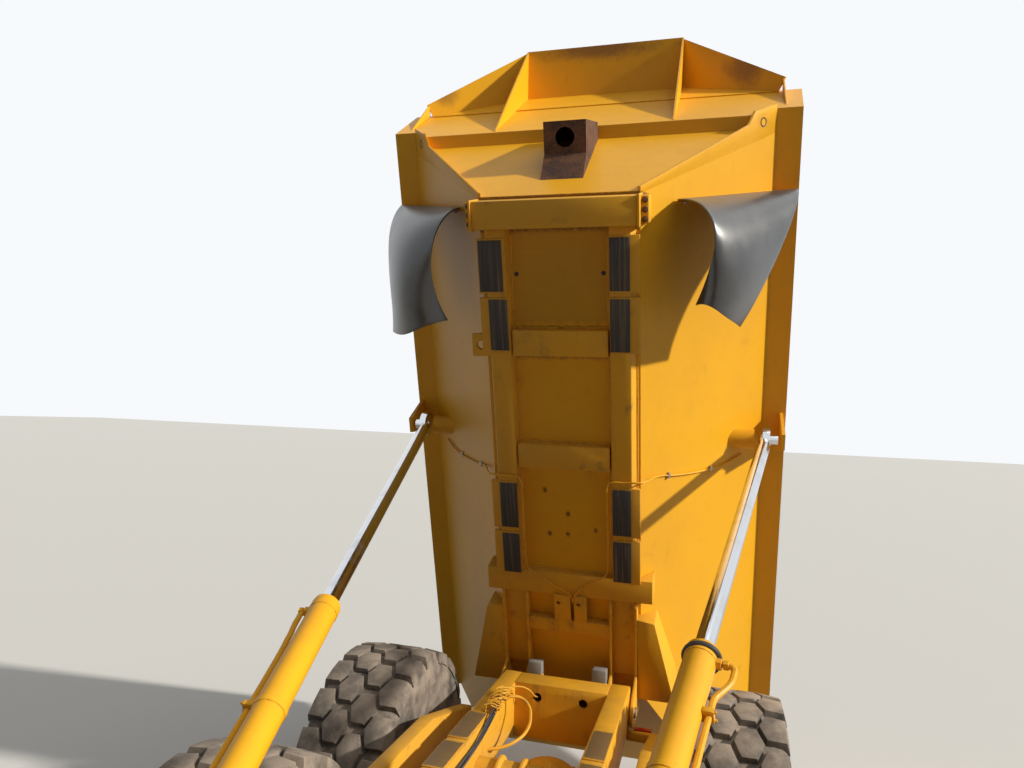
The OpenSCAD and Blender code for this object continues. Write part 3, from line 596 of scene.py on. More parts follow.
@dataclass(frozen=True)
class Plastic:
    """Moulded plastic or cloth with a fine grain.

    Attributes:
        name: the material's name.
        colour: of the surface.
        roughness: of the surface.
        grain: repeats per metre of the grain.
        depth: height of the grain.
    """

    name: str
    colour: Colour
    roughness: float = 0.6
    grain: float = 260.0
    depth: float = 0.0008

    def build(self) -> Finish:
        """Makes the material.

        Returns:
            The material.
        """
        g = Graph(self.name)
        grain = g.noise(self.grain, 3.0, 0.5)
        patch = g.noise(5.0, 5.0, 0.6)
        faded: Colour = tuple(min(1.0, c * 1.5 + 0.02) for c in self.colour)
        rough = g.summed(g.scaled(patch, 0.2), self.roughness - 0.1)
        g.drive(Base_Color=g.blend(g.ramp(patch, 0.4, 0.75), self.colour, faded), Roughness=rough)
        g.bump(grain, 0.5, self.depth)
        return g.material


YELLOW: Colour = (0.80, 0.40, 0.011)
FADED_YELLOW: Colour = (0.73, 0.36, 0.018)
BROWN: Colour = (0.11, 0.050, 0.020)
ORANGE_RUST: Colour = (0.17, 0.070, 0.026)


def body_stain(low: Triple, high: Triple, colour: Colour, share: float, boxed: bool = False) -> Stain:
    """A patch of another tone on the raised load body; the body's stains and its one patch of painted shade are made
    with it.

    Args:
        low: its least measures across, ahead and up on the lowered body.
        high: its greatest ones.
        colour: its tone.
        share: how much of the surface it takes.
        boxed: a box with ragged edges instead of a round patch.

    Returns:
        The stain at its place on the raised body.
    """
    middle = [(a + b) / 2 for a, b in zip(low, high)]
    across, ahead, up = ((b - a) / 2 for a, b in zip(low, high))
    reach = (across, abs(ahead * TIP_COS) + abs(up * TIP_SIN), abs(ahead * TIP_SIN) + abs(up * TIP_COS))
    return Stain(tuple(on_body(*middle)), reach, colour, share, boxed)


def spots_of_rust(places: tuple[Pair, ...], up: float, size: float) -> tuple[Stain, ...]:
    """Small rust spots on the load body's underside.

    Args:
        places: across and ahead on the lowered body.
        up: the height of the face.
        size: how far a spot reaches.

    Returns:
        The stains.
    """
    return tuple(
        body_stain((x - size, u - size, up - size), (x + size, u + size, up + size), BROWN, 0.9) for x, u in places
    )


RECESS_SPOTS: tuple[Pair, ...] = (
    (0.006, 1.328), (0.001, 1.175), (-0.127, 1.171), (0.197, 1.217), (-0.038, 1.710), (-0.150, 1.497), (0.165, 1.666),
)
RECESS_TOP = 0.270
# Stains of the load body, and one patch of painted shade.
BODY_STAINS_AND_SHADE: tuple[Stain, ...] = (
    body_stain((-0.62, 3.25, 0.09), (0.62, 3.46, 0.28), (0.085, 0.040, 0.018), 0.75, True),
    body_stain((-0.44, 2.44, 0.09), (0.44, 2.65, 0.28), (0.12, 0.060, 0.025), 0.55, True),
    # Painted shade: a darker ochre over the recessed floor of the bay between the second cross member and the front
    # cross beam.
    body_stain((-0.44, 2.66, 0.24), (0.44, 3.26, 0.30), (0.20, 0.095, 0.025), 0.35, True),
    body_stain((-0.75, 4.43, 2.08), (0.75, 4.60, 2.34), ORANGE_RUST, 0.75),
    body_stain((0.85, 4.12, 1.72), (1.40, 4.42, 2.10), ORANGE_RUST, 0.70),
    body_stain((-1.40, 4.12, 1.72), (-1.10, 4.32, 1.98), ORANGE_RUST, 0.60),
    *spots_of_rust(RECESS_SPOTS, RECESS_TOP, 0.024),
)
# Start and end of each worn pad on a trailer rail, along from the tip hinge, and the rail's height.
RAIL_PADS: tuple[Pair, ...] = ((-1.190, -0.800), (-1.570, -1.240), (-2.830, -2.500))
RAIL_TOP = 1.410
RAIL_STAINS: tuple[Stain, ...] = tuple(
    Stain(
        (side * 0.386, HINGE.y + (first + last) / 2, RAIL_TOP + 0.005), (0.060, (last - first) / 2, 0.012),
        (0.075, 0.058, 0.044), 0.85, True,
    )
    for side in (1, -1)
    for first, last in RAIL_PADS
)

FINISHES: dict[Slot, Paint | Rubber | Metal | Rust | Glass | Plastic] = {
    Slot.BODY_PAINT: Paint(
        "body_paint", YELLOW, FADED_YELLOW, grime=(0.30, 0.14, 0.022), grime_share=0.07, rust_share=0.06,
        stains=BODY_STAINS_AND_SHADE,
    ),
    Slot.FRAME_PAINT: Paint(
        "frame_paint", (0.76, 0.38, 0.018), (0.64, 0.33, 0.035), grime_share=0.38, rust_share=0.12, roughness=0.5,
        stains=RAIL_STAINS,
    ),
    Slot.BLACK_STEEL: Paint(
        "black_steel", (0.018, 0.018, 0.020), (0.035, 0.034, 0.033), grime=(0.13, 0.10, 0.075), roughness=0.5
    ),
    Slot.RUSTY_STEEL: Rust("rusty_steel"),
    Slot.TYRE_RUBBER: Rubber("tyre_rubber", (0.040, 0.036, 0.033), (0.31, 0.255, 0.205), 0.92, 0.8, 0.003),
    Slot.FLAP_RUBBER: Rubber("flap_rubber", (0.018, 0.019, 0.021), (0.10, 0.105, 0.11), 0.25, 0.30, 0.001, 0.9),
    Slot.CHROME_ROD: Metal("chrome_rod", (0.72, 0.74, 0.77), (0.30, 0.26, 0.20), 0.25, 0.06),
    Slot.BARE_STEEL: Metal("bare_steel", (0.36, 0.35, 0.34), (0.14, 0.09, 0.06), 0.6, 0.35),
    Slot.WINDOW_GLASS: Glass("window_glass", (0.62, 0.74, 0.76)),
    Slot.LAMP_LENS: Plastic("lamp_lens", (0.70, 0.71, 0.69), 0.18, 90.0),
    Slot.RED_LENS: Plastic("red_lens", (0.38, 0.020, 0.015), 0.22, 90.0),
    Slot.SEAT_FABRIC: Plastic("seat_fabric", (0.035, 0.035, 0.040), 0.9, 700.0, 0.0015),
    Slot.DASH_PLASTIC: Plastic("dash_plastic", (0.045, 0.045, 0.048), 0.62),
    Slot.GREY_RUBBER: Rubber("grey_rubber", (0.17, 0.17, 0.17), (0.30, 0.27, 0.23), 0.5, 0.7),
}


class Finishes:
    """Makes each finish once and hands it out by slot."""

    def __init__(self) -> None:
        """Starts with no material made."""
        self.made: dict[Slot, Finish] = {}

    def get(self, slot: Slot) -> Finish:
        """The material of a slot.

        Args:
            slot: the slot.

        Returns:
            The material.
        """
        if slot not in self.made:
            self.made[slot] = FINISHES[slot].build()
        return self.made[slot]

    def dress(self, piece: Piece, slot: Slot) -> None:
        """Gives a piece one finish all over.

        Args:
            piece: the object.
            slot: the finish.
        """
        piece.data.materials.clear()
        piece.data.materials.append(self.get(slot))

    def dress_frame(self) -> None:
        """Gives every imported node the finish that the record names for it."""
        for part in frame["record"]["subparts"]:
            self.dress(frame["nodes"][part["node"]], Slot(part["material_slot"]))


# Modelling


def clear_selection() -> None:
    """Leaves edit mode with nothing selected."""
    if bpy.context.object and bpy.context.object.mode != "OBJECT":
        bpy.ops.object.mode_set(mode="OBJECT")
    bpy.ops.object.select_all(action="DESELECT")


def activate(piece: Piece) -> None:
    """Selects one object alone and makes it the active one.

    Args:
        piece: the object.
    """
    clear_selection()
    piece.select_set(True)
    bpy.context.view_layer.objects.active = piece


def settle(name: str) -> Piece:
    """Names the object that was just added and moves its place into its mesh.

    Args:
        name: the object's name.

    Returns:
        The object.
    """
    piece = bpy.context.object
    piece.name = piece.data.name = name
    bpy.ops.object.transform_apply(location=True, rotation=True, scale=True)
    return piece


@contextmanager
def edited(piece: Piece, test: Callable[[Vector, Vector], bool] | None = None) -> Iterator[None]:
    """Edit mode on a piece with all of it selected, or only the faces that pass a test.

    Args:
        piece: the object.
        test: takes a face's centre and normal.

    Yields:
        Nothing, while the piece is in edit mode.
    """
    activate(piece)
    bpy.ops.object.mode_set(mode="EDIT")
    if test is None:
        bpy.ops.mesh.select_all(action="SELECT")
    else:
        bpy.ops.mesh.select_mode(type="FACE")
        bpy.ops.mesh.select_all(action="DESELECT")
        bpy.ops.object.mode_set(mode="OBJECT")
        for face in piece.data.polygons:
            face.select = test(face.center, face.normal)
        bpy.ops.object.mode_set(mode="EDIT")
    yield
    bpy.ops.object.mode_set(mode="OBJECT")


def modified(piece: Piece, kind: str, **settings: object) -> None:
    """Adds a modifier to a piece and applies it.

    Args:
        piece: the object.
        kind: the modifier's type name.
        settings: properties to set on it.
    """
    activate(piece)
    modifier = piece.modifiers.new(kind.lower(), kind)
    for key, value in settings.items():
        setattr(modifier, key, value)
    bpy.ops.object.modifier_apply(modifier=modifier.name)


def smooth(piece: Piece, degrees: float = 35.0) -> Piece:
    """Shades a piece smooth except across edges sharper than an angle.

    Args:
        piece: the object.
        degrees: the angle.

    Returns:
        The object.
    """
    activate(piece)
    bpy.ops.object.shade_smooth_by_angle(angle=math.radians(degrees))
    return piece


def clone(master: Piece, name: str, place: Matrix) -> Piece:
    """Copies a piece with its own mesh and moves that mesh.

    Args:
        master: the piece to copy.
        name: the copy's name.
        place: where the copy goes.

    Returns:
        The copy.
    """
    copy = master.copy()
    copy.data = master.data.copy()
    copy.name = copy.data.name = name
    copy.data.transform(place)
    bpy.context.scene.collection.objects.link(copy)
    return copy


def join(name: str, parts: list[Piece]) -> Piece:
    """Joins objects into one.

    Args:
        name: the joined object's name.
        parts: the objects; the first one stays.

    Returns:
        The joined object.
    """
    clear_selection()
    for part in parts:
        part.select_set(True)
    bpy.context.view_layer.objects.active = parts[0]
    if len(parts) > 1:
        bpy.ops.object.join()
    parts[0].name = parts[0].data.name = name
    return parts[0]


def discard(piece: Piece) -> None:
    """Removes a piece that was only copied from."""
    bpy.data.objects.remove(piece)


def facing(place: Vector, normal: Vector, turn: float = 0.0) -> Matrix:
    """A placement with local Z along a normal.

    Args:
        place: where the origin goes.
        normal: the direction of local Z.
        turn: a turn about it, in radians.

    Returns:
        The placement.
    """
    return (
        Matrix.Translation(place)
        @ normal.to_track_quat("Z", "Y").to_matrix().to_4x4()
        @ Matrix.Rotation(turn, 4, "Z")
    )


def tube(name: str, points: list[Vector], radius: float, sharp: bool = False) -> Piece:
    """A round pipe or wire through points.

    Args:
        name: the piece's name.
        points: its middle line.
        radius: half its thickness.
        sharp: straight runs between the points instead of a smooth curve.

    Returns:
        The piece, as a mesh.
    """
    clear_selection()
    data = bpy.data.curves.new(name, "CURVE")
    data.dimensions, data.bevel_depth, data.bevel_resolution = "3D", radius, 2
    data.resolution_u, data.use_fill_caps = 6, True
    spline = data.splines.new("BEZIER")
    spline.bezier_points.add(len(points) - 1)
    for knot, place in zip(spline.bezier_points, points):
        knot.co = place
        knot.handle_left_type = knot.handle_right_type = "VECTOR" if sharp else "AUTO"
    piece = bpy.data.objects.new(name, data)
    bpy.context.scene.collection.objects.link(piece)
    activate(piece)
    bpy.ops.object.convert(target="MESH")
    return smooth(bpy.context.object, 40.0)


def ring(name: str, outline: list[Pair], sides: int) -> Piece:
    """Turns a closed outline about the X axis.

    Args:
        name: the piece's name.
        outline: pairs of place along X and radius, round the cross section.
        sides: steps round the axis.

    Returns:
        The piece, round the origin.
    """
    clear_selection()
    first = outline[0]
    bpy.ops.mesh.primitive_circle_add(
        vertices=sides, radius=first[1], location=(first[0], 0.0, 0.0), rotation=(0.0, math.pi / 2, 0.0)
    )
    piece = settle(name)
    with edited(piece):
        for (x0, r0), (x1, r1) in zip(outline, [*outline[1:], first]):
            bpy.ops.mesh.extrude_edges_move(TRANSFORM_OT_translate={"value": (x1 - x0, 0.0, 0.0)})
            scale = r1 / r0
            bpy.ops.transform.resize(value=(1.0, scale, scale), center_override=(x1, 0.0, 0.0))
        bpy.ops.mesh.select_all(action="SELECT")
        bpy.ops.mesh.remove_doubles(threshold=0.0002)
        bpy.ops.mesh.normals_make_consistent(inside=False)
    return piece


@dataclass(frozen=True)
class Bolt:
    """A six-sided bolt head on its washer.

    Attributes:
        across: width of the head over its corners.
        head: height of the head.
        washer: width of the washer.
    """

    across: float = 0.026
    head: float = 0.012
    washer: float = 0.034

    def model(self) -> Piece:
        """Makes one bolt standing on the origin along Z.

        Returns:
            The piece.
        """
        clear_selection()
        bpy.ops.mesh.primitive_cylinder_add(
            vertices=6, radius=self.across / 2, depth=self.head, location=(0.0, 0.0, self.head / 2 + 0.003)
        )
        head = settle("bolt_head")
        with edited(head, lambda centre, normal: normal.z > 0.9):
            bpy.ops.mesh.inset(thickness=self.across * 0.14, depth=self.head * 0.18)
        clear_selection()
        bpy.ops.mesh.primitive_cylinder_add(vertices=16, radius=self.washer / 2, depth=0.004, location=(0, 0, 0.002))
        washer = settle("bolt_washer")
        with edited(washer, lambda centre, normal: normal.z > 0.9):
            bpy.ops.mesh.bevel(offset=0.0012, segments=1, affect="EDGES")
        return join("bolt", [head, washer])

    def row(self, name: str, places: list[tuple[Vector, Vector]]) -> Piece:
        """Sets bolts at several places, as one piece.

        Args:
            name: the piece's name.
            places: pairs of a place and the surface's normal there.

        Returns:
            The piece.
        """
        master = self.model()
        copies = [
            clone(master, f"{name}_{k}", facing(place, normal, random.uniform(0.0, 1.0)))
            for k, (place, normal) in enumerate(places)
        ]
        discard(master)
        return smooth(join(name, copies), 30.0)


def spot(axis: str, first: float, second: float, along: float) -> Triple:
    """A point from two measures in a plane and one along the lettered axis square to it."""
    return {"X": (along, first, second), "Y": (first, along, second), "Z": (first, second, along)}[axis]


def on_ground(points: tuple[Triple, ...] | list[Triple]) -> list[Vector]:
    """Points from their measures across, along from the tip hinge and above the ground."""
    return [GROUND @ Vector(point) for point in points]


def arc(centre: Pair, radius: float, first: float, last: float, steps: int) -> list[Pair]:
    """Points along a part of a circle, between two angles in degrees."""
    angles = (math.radians(first + (last - first) * k / steps) for k in range(steps + 1))
    return [(centre[0] + radius * math.cos(a), centre[1] + radius * math.sin(a)) for a in angles]


def slab(
    name: str, axis: str, outline: list[Pair], span: Pair, place: Matrix, rounding: float = 0.003
) -> Piece:
    """A flat outline pulled out into a solid, with rounded edges.

    Args:
        name: the piece's name.
        axis: the letter of the axis that it is pulled along.
        outline: its corners on the other two axes.
        span: where it starts and ends along the axis.
        place: its frame.
        rounding: width of the rounded edges.

    Returns:
        The piece.
    """
    clear_selection()
    bpy.ops.mesh.primitive_circle_add(vertices=len(outline), radius=1.0, fill_type="NGON")
    piece = settle(name)
    for point, corner in zip(piece.data.vertices, outline):
        point.co = spot(axis, *corner, span[0])
    with edited(piece):
        pull = spot(axis, 0.0, 0.0, span[1] - span[0])
        bpy.ops.mesh.extrude_region_move(TRANSFORM_OT_translate={"value": pull})
        bpy.ops.mesh.select_all(action="SELECT")
        bpy.ops.mesh.normals_make_consistent(inside=False)
    if rounding:
        modified(piece, "BEVEL", width=rounding, segments=2, limit_method="ANGLE", angle_limit=math.radians(25))
    piece.data.transform(place)
    if place.determinant() < 0:
        piece.data.flip_normals()
    return piece


def block(name: str, low: Triple, high: Triple, place: Matrix, rounding: float = 0.003) -> Piece:
    """A box between two corners, with rounded edges."""
    outline = [(low[0], low[1]), (high[0], low[1]), (high[0], high[1]), (low[0], high[1])]
    return slab(name, "Z", outline, (low[2], high[2]), place, rounding)


def mirrored(parts: list[Piece]) -> list[Piece]:
    """Pieces together with their mirror images on the truck's other side.

    Args:
        parts: the pieces on the left.

    Returns:
        The pieces.
    """
    images = []
    for part in parts:
        image = clone(part, f"{part.name}_mirror", Matrix.Diagonal((-1.0, 1.0, 1.0, 1.0)))
        image.data.flip_normals()
        images.append(image)
    return [*parts, *images]


def drill(piece: Piece, place: Vector, along: Vector, radius: float, depth: float) -> None:
    """Cuts a round hole.

    Args:
        piece: the piece that gets the hole.
        place: the hole's middle.
        along: the hole's direction.
        radius: the hole's radius.
        depth: the hole's whole length.
    """
    clear_selection()
    bpy.ops.mesh.primitive_cylinder_add(vertices=24, radius=radius, depth=depth)
    cutter = settle("cutter")
    cutter.data.transform(facing(place, along))
    modified(piece, "BOOLEAN", operation="DIFFERENCE", solver="EXACT", object=cutter)
    discard(cutter)


def collar(name: str, outline: list[Pair], place: Matrix, sides: int = 48) -> Piece:
    """A turned part with its axis along the X axis of a frame.

    Args:
        name: the piece's name.
        outline: pairs of place along the axis and radius.
        place: the frame.
        sides: steps round the axis.

    Returns:
        The piece.
    """
    piece = ring(name, outline, sides)
    piece.data.transform(place)
    if place.determinant() < 0:
        piece.data.flip_normals()
    return piece


# Sub-assemblies


@dataclass
class SubAssembly:
    """A group of pieces that is modelled, dressed and set on the truck's bodies together.

    Attributes:
        finishes: hands out the finishes.
    """

    finishes: Finishes

    def fit(self, piece: Piece, slot: Slot, body: str, node: str = "") -> None:
        """Dresses a piece and sets it on its body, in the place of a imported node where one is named.

        Args:
            piece: the object.
            slot: its finish.
            body: the body that carries it.
            node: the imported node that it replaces.
        """
        self.finishes.dress(piece, slot)
        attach(piece, body)
        if node:
            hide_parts(node)


@dataclass
class Tyre(SubAssembly):
    """A wide earthmover tyre with four rows of six-sided tread blocks.

    Attributes:
        root: radius of the tread's floor.
        depth: height of a tread block.
        pitches: blocks round one row.
        rows: middle of each row across the tread, in the right order from the left wall.
        block: half width and half length of a block, before its corners are drawn in.
        shoulder: across place of the outer row's edge at the top and at the bottom.
        bore: radius of the bore.
        wall: half of the cross section, from the tread's middle to the bore: across and radius.
    """

    root: float = 0.7725
    depth: float = 0.0375
    pitches: int = 20
    rows: tuple[float, ...] = (-0.206, -0.070, 0.070, 0.206)
    block: Pair = (0.090, 0.103)
    shoulder: Pair = (0.268, 0.288)
    bore: float = 0.3195
    wall: tuple[Pair, ...] = (
        (0.120, 0.772), (0.205, 0.768), (0.246, 0.758), (0.270, 0.738), (0.2835, 0.708), (0.2915, 0.672),
        (0.2955, 0.640), (0.2940, 0.626), (0.2973, 0.617), (0.2973, 0.600), (0.2940, 0.591), (0.2935, 0.545),
        (0.2870, 0.490), (0.2745, 0.435), (0.2600, 0.390), (0.2575, 0.378), (0.2500, 0.372), (0.2462, 0.352),
        (0.2440, 0.345), (0.2440, 0.3195),
    )

    def lug(self, at: float) -> Piece:
        """Models one tread block on a flat strip: X across, Y along the tread, Z up from its floor.

        Args:
            at: across place of its row.

        Returns:
            The block.
        """
        clear_selection()
        bpy.ops.mesh.primitive_circle_add(
            vertices=6, radius=self.block[0], fill_type="NGON", location=(at, 0.0, -0.006), rotation=(0, 0, math.pi / 6)
        )
        lug = settle("lug")
        with edited(lug):
            stretch = self.block[1] / (self.block[0] * math.cos(math.pi / 6))
            bpy.ops.transform.resize(value=(1.0, stretch, 1.0), center_override=(at, 0.0, 0.0))
            bpy.ops.mesh.extrude_region_move(TRANSFORM_OT_translate={"value": (0.0, 0.0, self.depth + 0.006)})
            bpy.ops.transform.resize(value=(0.90, 0.93, 1.0), center_override=(at, 0.0, 0.0))
        side = math.copysign(1.0, at)
        if abs(at) == max(self.rows):
            for point in lug.data.vertices:
                if side * (point.co.x - at) > 0.02:
                    top = point.co.z > 0.01
                    point.co.x = side * self.shoulder[0 if top else 1]
                    point.co.y *= 0.94 if top else 1.0
                    point.co.z = self.depth - 0.012 if top else -0.050
        with edited(lug, lambda centre, normal: centre.z > self.depth * 0.7):
            bpy.ops.mesh.bevel(offset=0.0045, segments=2, affect="EDGES")
        return lug

    def tread(self) -> Piece:
        """Models all blocks round the wheel's axis.

        Returns:
            The piece.
        """
        step = 2.0 * math.pi / self.pitches
        length = step * (self.root + self.depth)
        lugs = [self.lug(at) for at in self.rows]
        for k, lug in enumerate(lugs):
            lug.data.transform(Matrix.Translation((0.0, length * 0.5 * (k % 2), 0.0)))
        pitch = join("tread_pitch", lugs)
        for point in pitch.data.vertices:
            angle = point.co.y / length * step
            radius = self.root + point.co.z
            point.co.y, point.co.z = radius * math.sin(angle), radius * math.cos(angle)
        copies = [clone(pitch, f"tread_{k}", Matrix.Rotation(k * step, 4, "X")) for k in range(self.pitches)]
        discard(pitch)
        return join("tread", copies)

    def carcass(self) -> Piece:
        """Models the body of the tyre with its walls and bore.

        Returns:
            The piece.
        """
        outline = [(0.0, self.bore), *((x, r) for x, r in reversed(self.wall)), (0.0, self.root)]
        outline += [(-x, r) for x, r in self.wall]
        return ring("carcass", outline, 96)

    def build(self) -> None:
        """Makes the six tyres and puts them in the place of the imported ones."""
        master = smooth(join("tyre_master", [self.carcass(), self.tread()]), 28.0)
        for name in [n for n in frame["nodes"] if n.startswith("tyre_")]:
            low, high = (Vector(corner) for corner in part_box(name))
            spin = Matrix.Rotation(random.uniform(0.0, 6.2), 4, "X")
            tyre = clone(master, name.replace("tyre_", "treaded_tyre_"), Matrix.Translation((low + high) / 2) @ spin)
            self.fit(tyre, Slot.TYRE_RUBBER, name.replace("tyre_", "wheel_"), name)
        discard(master)


Net = tuple[tuple[Triple, Triple, Triple], ...]


@dataclass
class MudFlaps(SubAssembly):
    """The two rubber flaps that hang under the raised body's flanks, with their bolts.

    Attributes:
        nets: for each side, rows from the bolts down of inner edge, middle and outer edge; each point is
            across, ahead of the hinge and above it, on the lowered body.
        thickness: of the rubber.
        keep: share of the height that is left when the body lies down; not used.
        bolts: number of bolts along the upper edge.
    """

    nets: dict[Side, Net] = field(default_factory=lambda: {
        Side.LEFT: (
            ((0.700, 3.380, 0.492), (1.075, 3.380, 0.870), (1.450, 3.380, 1.248)),
            ((0.940, 3.415, 0.050), (1.140, 3.360, 0.300), (1.460, 3.400, 0.950)),
            ((1.000, 3.190, 0.020), (1.075, 2.965, 0.090), (1.330, 3.035, 0.600)),
            ((0.838, 2.785, 0.220), (0.960, 2.855, -0.120), (1.085, 2.595, 0.500)),
        ),
        Side.RIGHT: (
            ((0.700, 3.380, 0.492), (1.075, 3.380, 0.870), (1.450, 3.380, 1.248)),
            ((0.720, 3.400, 0.100), (1.100, 3.390, 0.100), (1.428, 3.235, 0.744)),
            ((0.900, 3.050, 0.120), (1.110, 2.980, -0.020), (1.229, 2.837, 0.525)),
            ((0.750, 2.690, 0.220), (0.940, 2.640, -0.035), (1.242, 2.546, 0.453)),
        ),
    })
    thickness: float = 0.012
    keep: float = 0.3
    bolts: int = 9

    def at(self, side: Side, drop: float, across: float) -> Vector:
        """A point of the flap's inner face.

        Args:
            side: which flap.
            drop: from 0 at the bolts to 1 at the hem.
            across: from 0 at the inner edge to 1 at the outer edge.

        Returns:
            The point, with the body raised.
        """
        bends = (1 - across) ** 2, 2 * across * (1 - across), across**2
        rows = [sum((Vector(p) * b for p, b in zip(row, bends)), Vector()) for row in self.nets[side]]
        drops = (1 - drop) ** 3, 3 * drop * (1 - drop) ** 2, 3 * drop**2 * (1 - drop), drop**3
        x, forward, up = sum((row * d for row, d in zip(rows, drops)), Vector())
        return on_body(side.value * x, forward, up)

    def sheet(self, side: Side) -> Piece:
        """Models one flap: a fine grid laid on its net, then thickened and rounded at the rim.

        Args:
            side: which flap.

        Returns:
            The flap.
        """
        clear_selection()
        bpy.ops.mesh.primitive_grid_add(x_subdivisions=26, y_subdivisions=34, size=1.0, location=(0.5, 0.5, 0.0))
        flap = settle(f"rubber_flap_{side.word}")
        for point in flap.data.vertices:
            drop, across = point.co.y, point.co.x
            ripple = 0.006 * math.sin(across * 9.0 + 1.3 * side.value) * drop**2
            hem = 0.010 * math.sin(across * 7.0) * max(0.0, drop - 0.9) * 10.0
            point.co = self.at(side, drop, across) + Vector((0.0, -ripple, hem))
        with edited(flap):
            bpy.ops.mesh.normals_make_consistent(inside=False)
        if sum(face.normal.y for face in flap.data.polygons) > 0:
            flap.data.flip_normals()
        modified(flap, "SOLIDIFY", thickness=self.thickness, offset=1.0)
        modified(flap, "BEVEL", width=0.003, segments=2, limit_method="ANGLE", angle_limit=math.radians(60))
        return smooth(flap, 40.0)

    def hardware(self, side: Side) -> Piece:
        """Sets the bolts through the flap's upper edge.

        Args:
            side: which flap.

        Returns:
            The bolts, as one piece.
        """
        gaps = self.bolts - 1
        places = [
            (self.at(side, 0.018, 0.05 + 0.9 * k / gaps) - self.thickness * BODY_AHEAD, -BODY_AHEAD)
            for k in range(self.bolts)
        ]
        return Bolt(0.022, 0.010, 0.036).row(f"flap_bolts_{side.word}", places)

    def build(self) -> None:
        """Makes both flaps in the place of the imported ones."""
        for side in Side:
            flap = self.sheet(side)
            self.fit(flap, Slot.FLAP_RUBBER, "dump_body", "mud_flaps")
            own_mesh(flap)
            self.fit(self.hardware(side), Slot.BARE_STEEL, "dump_body")


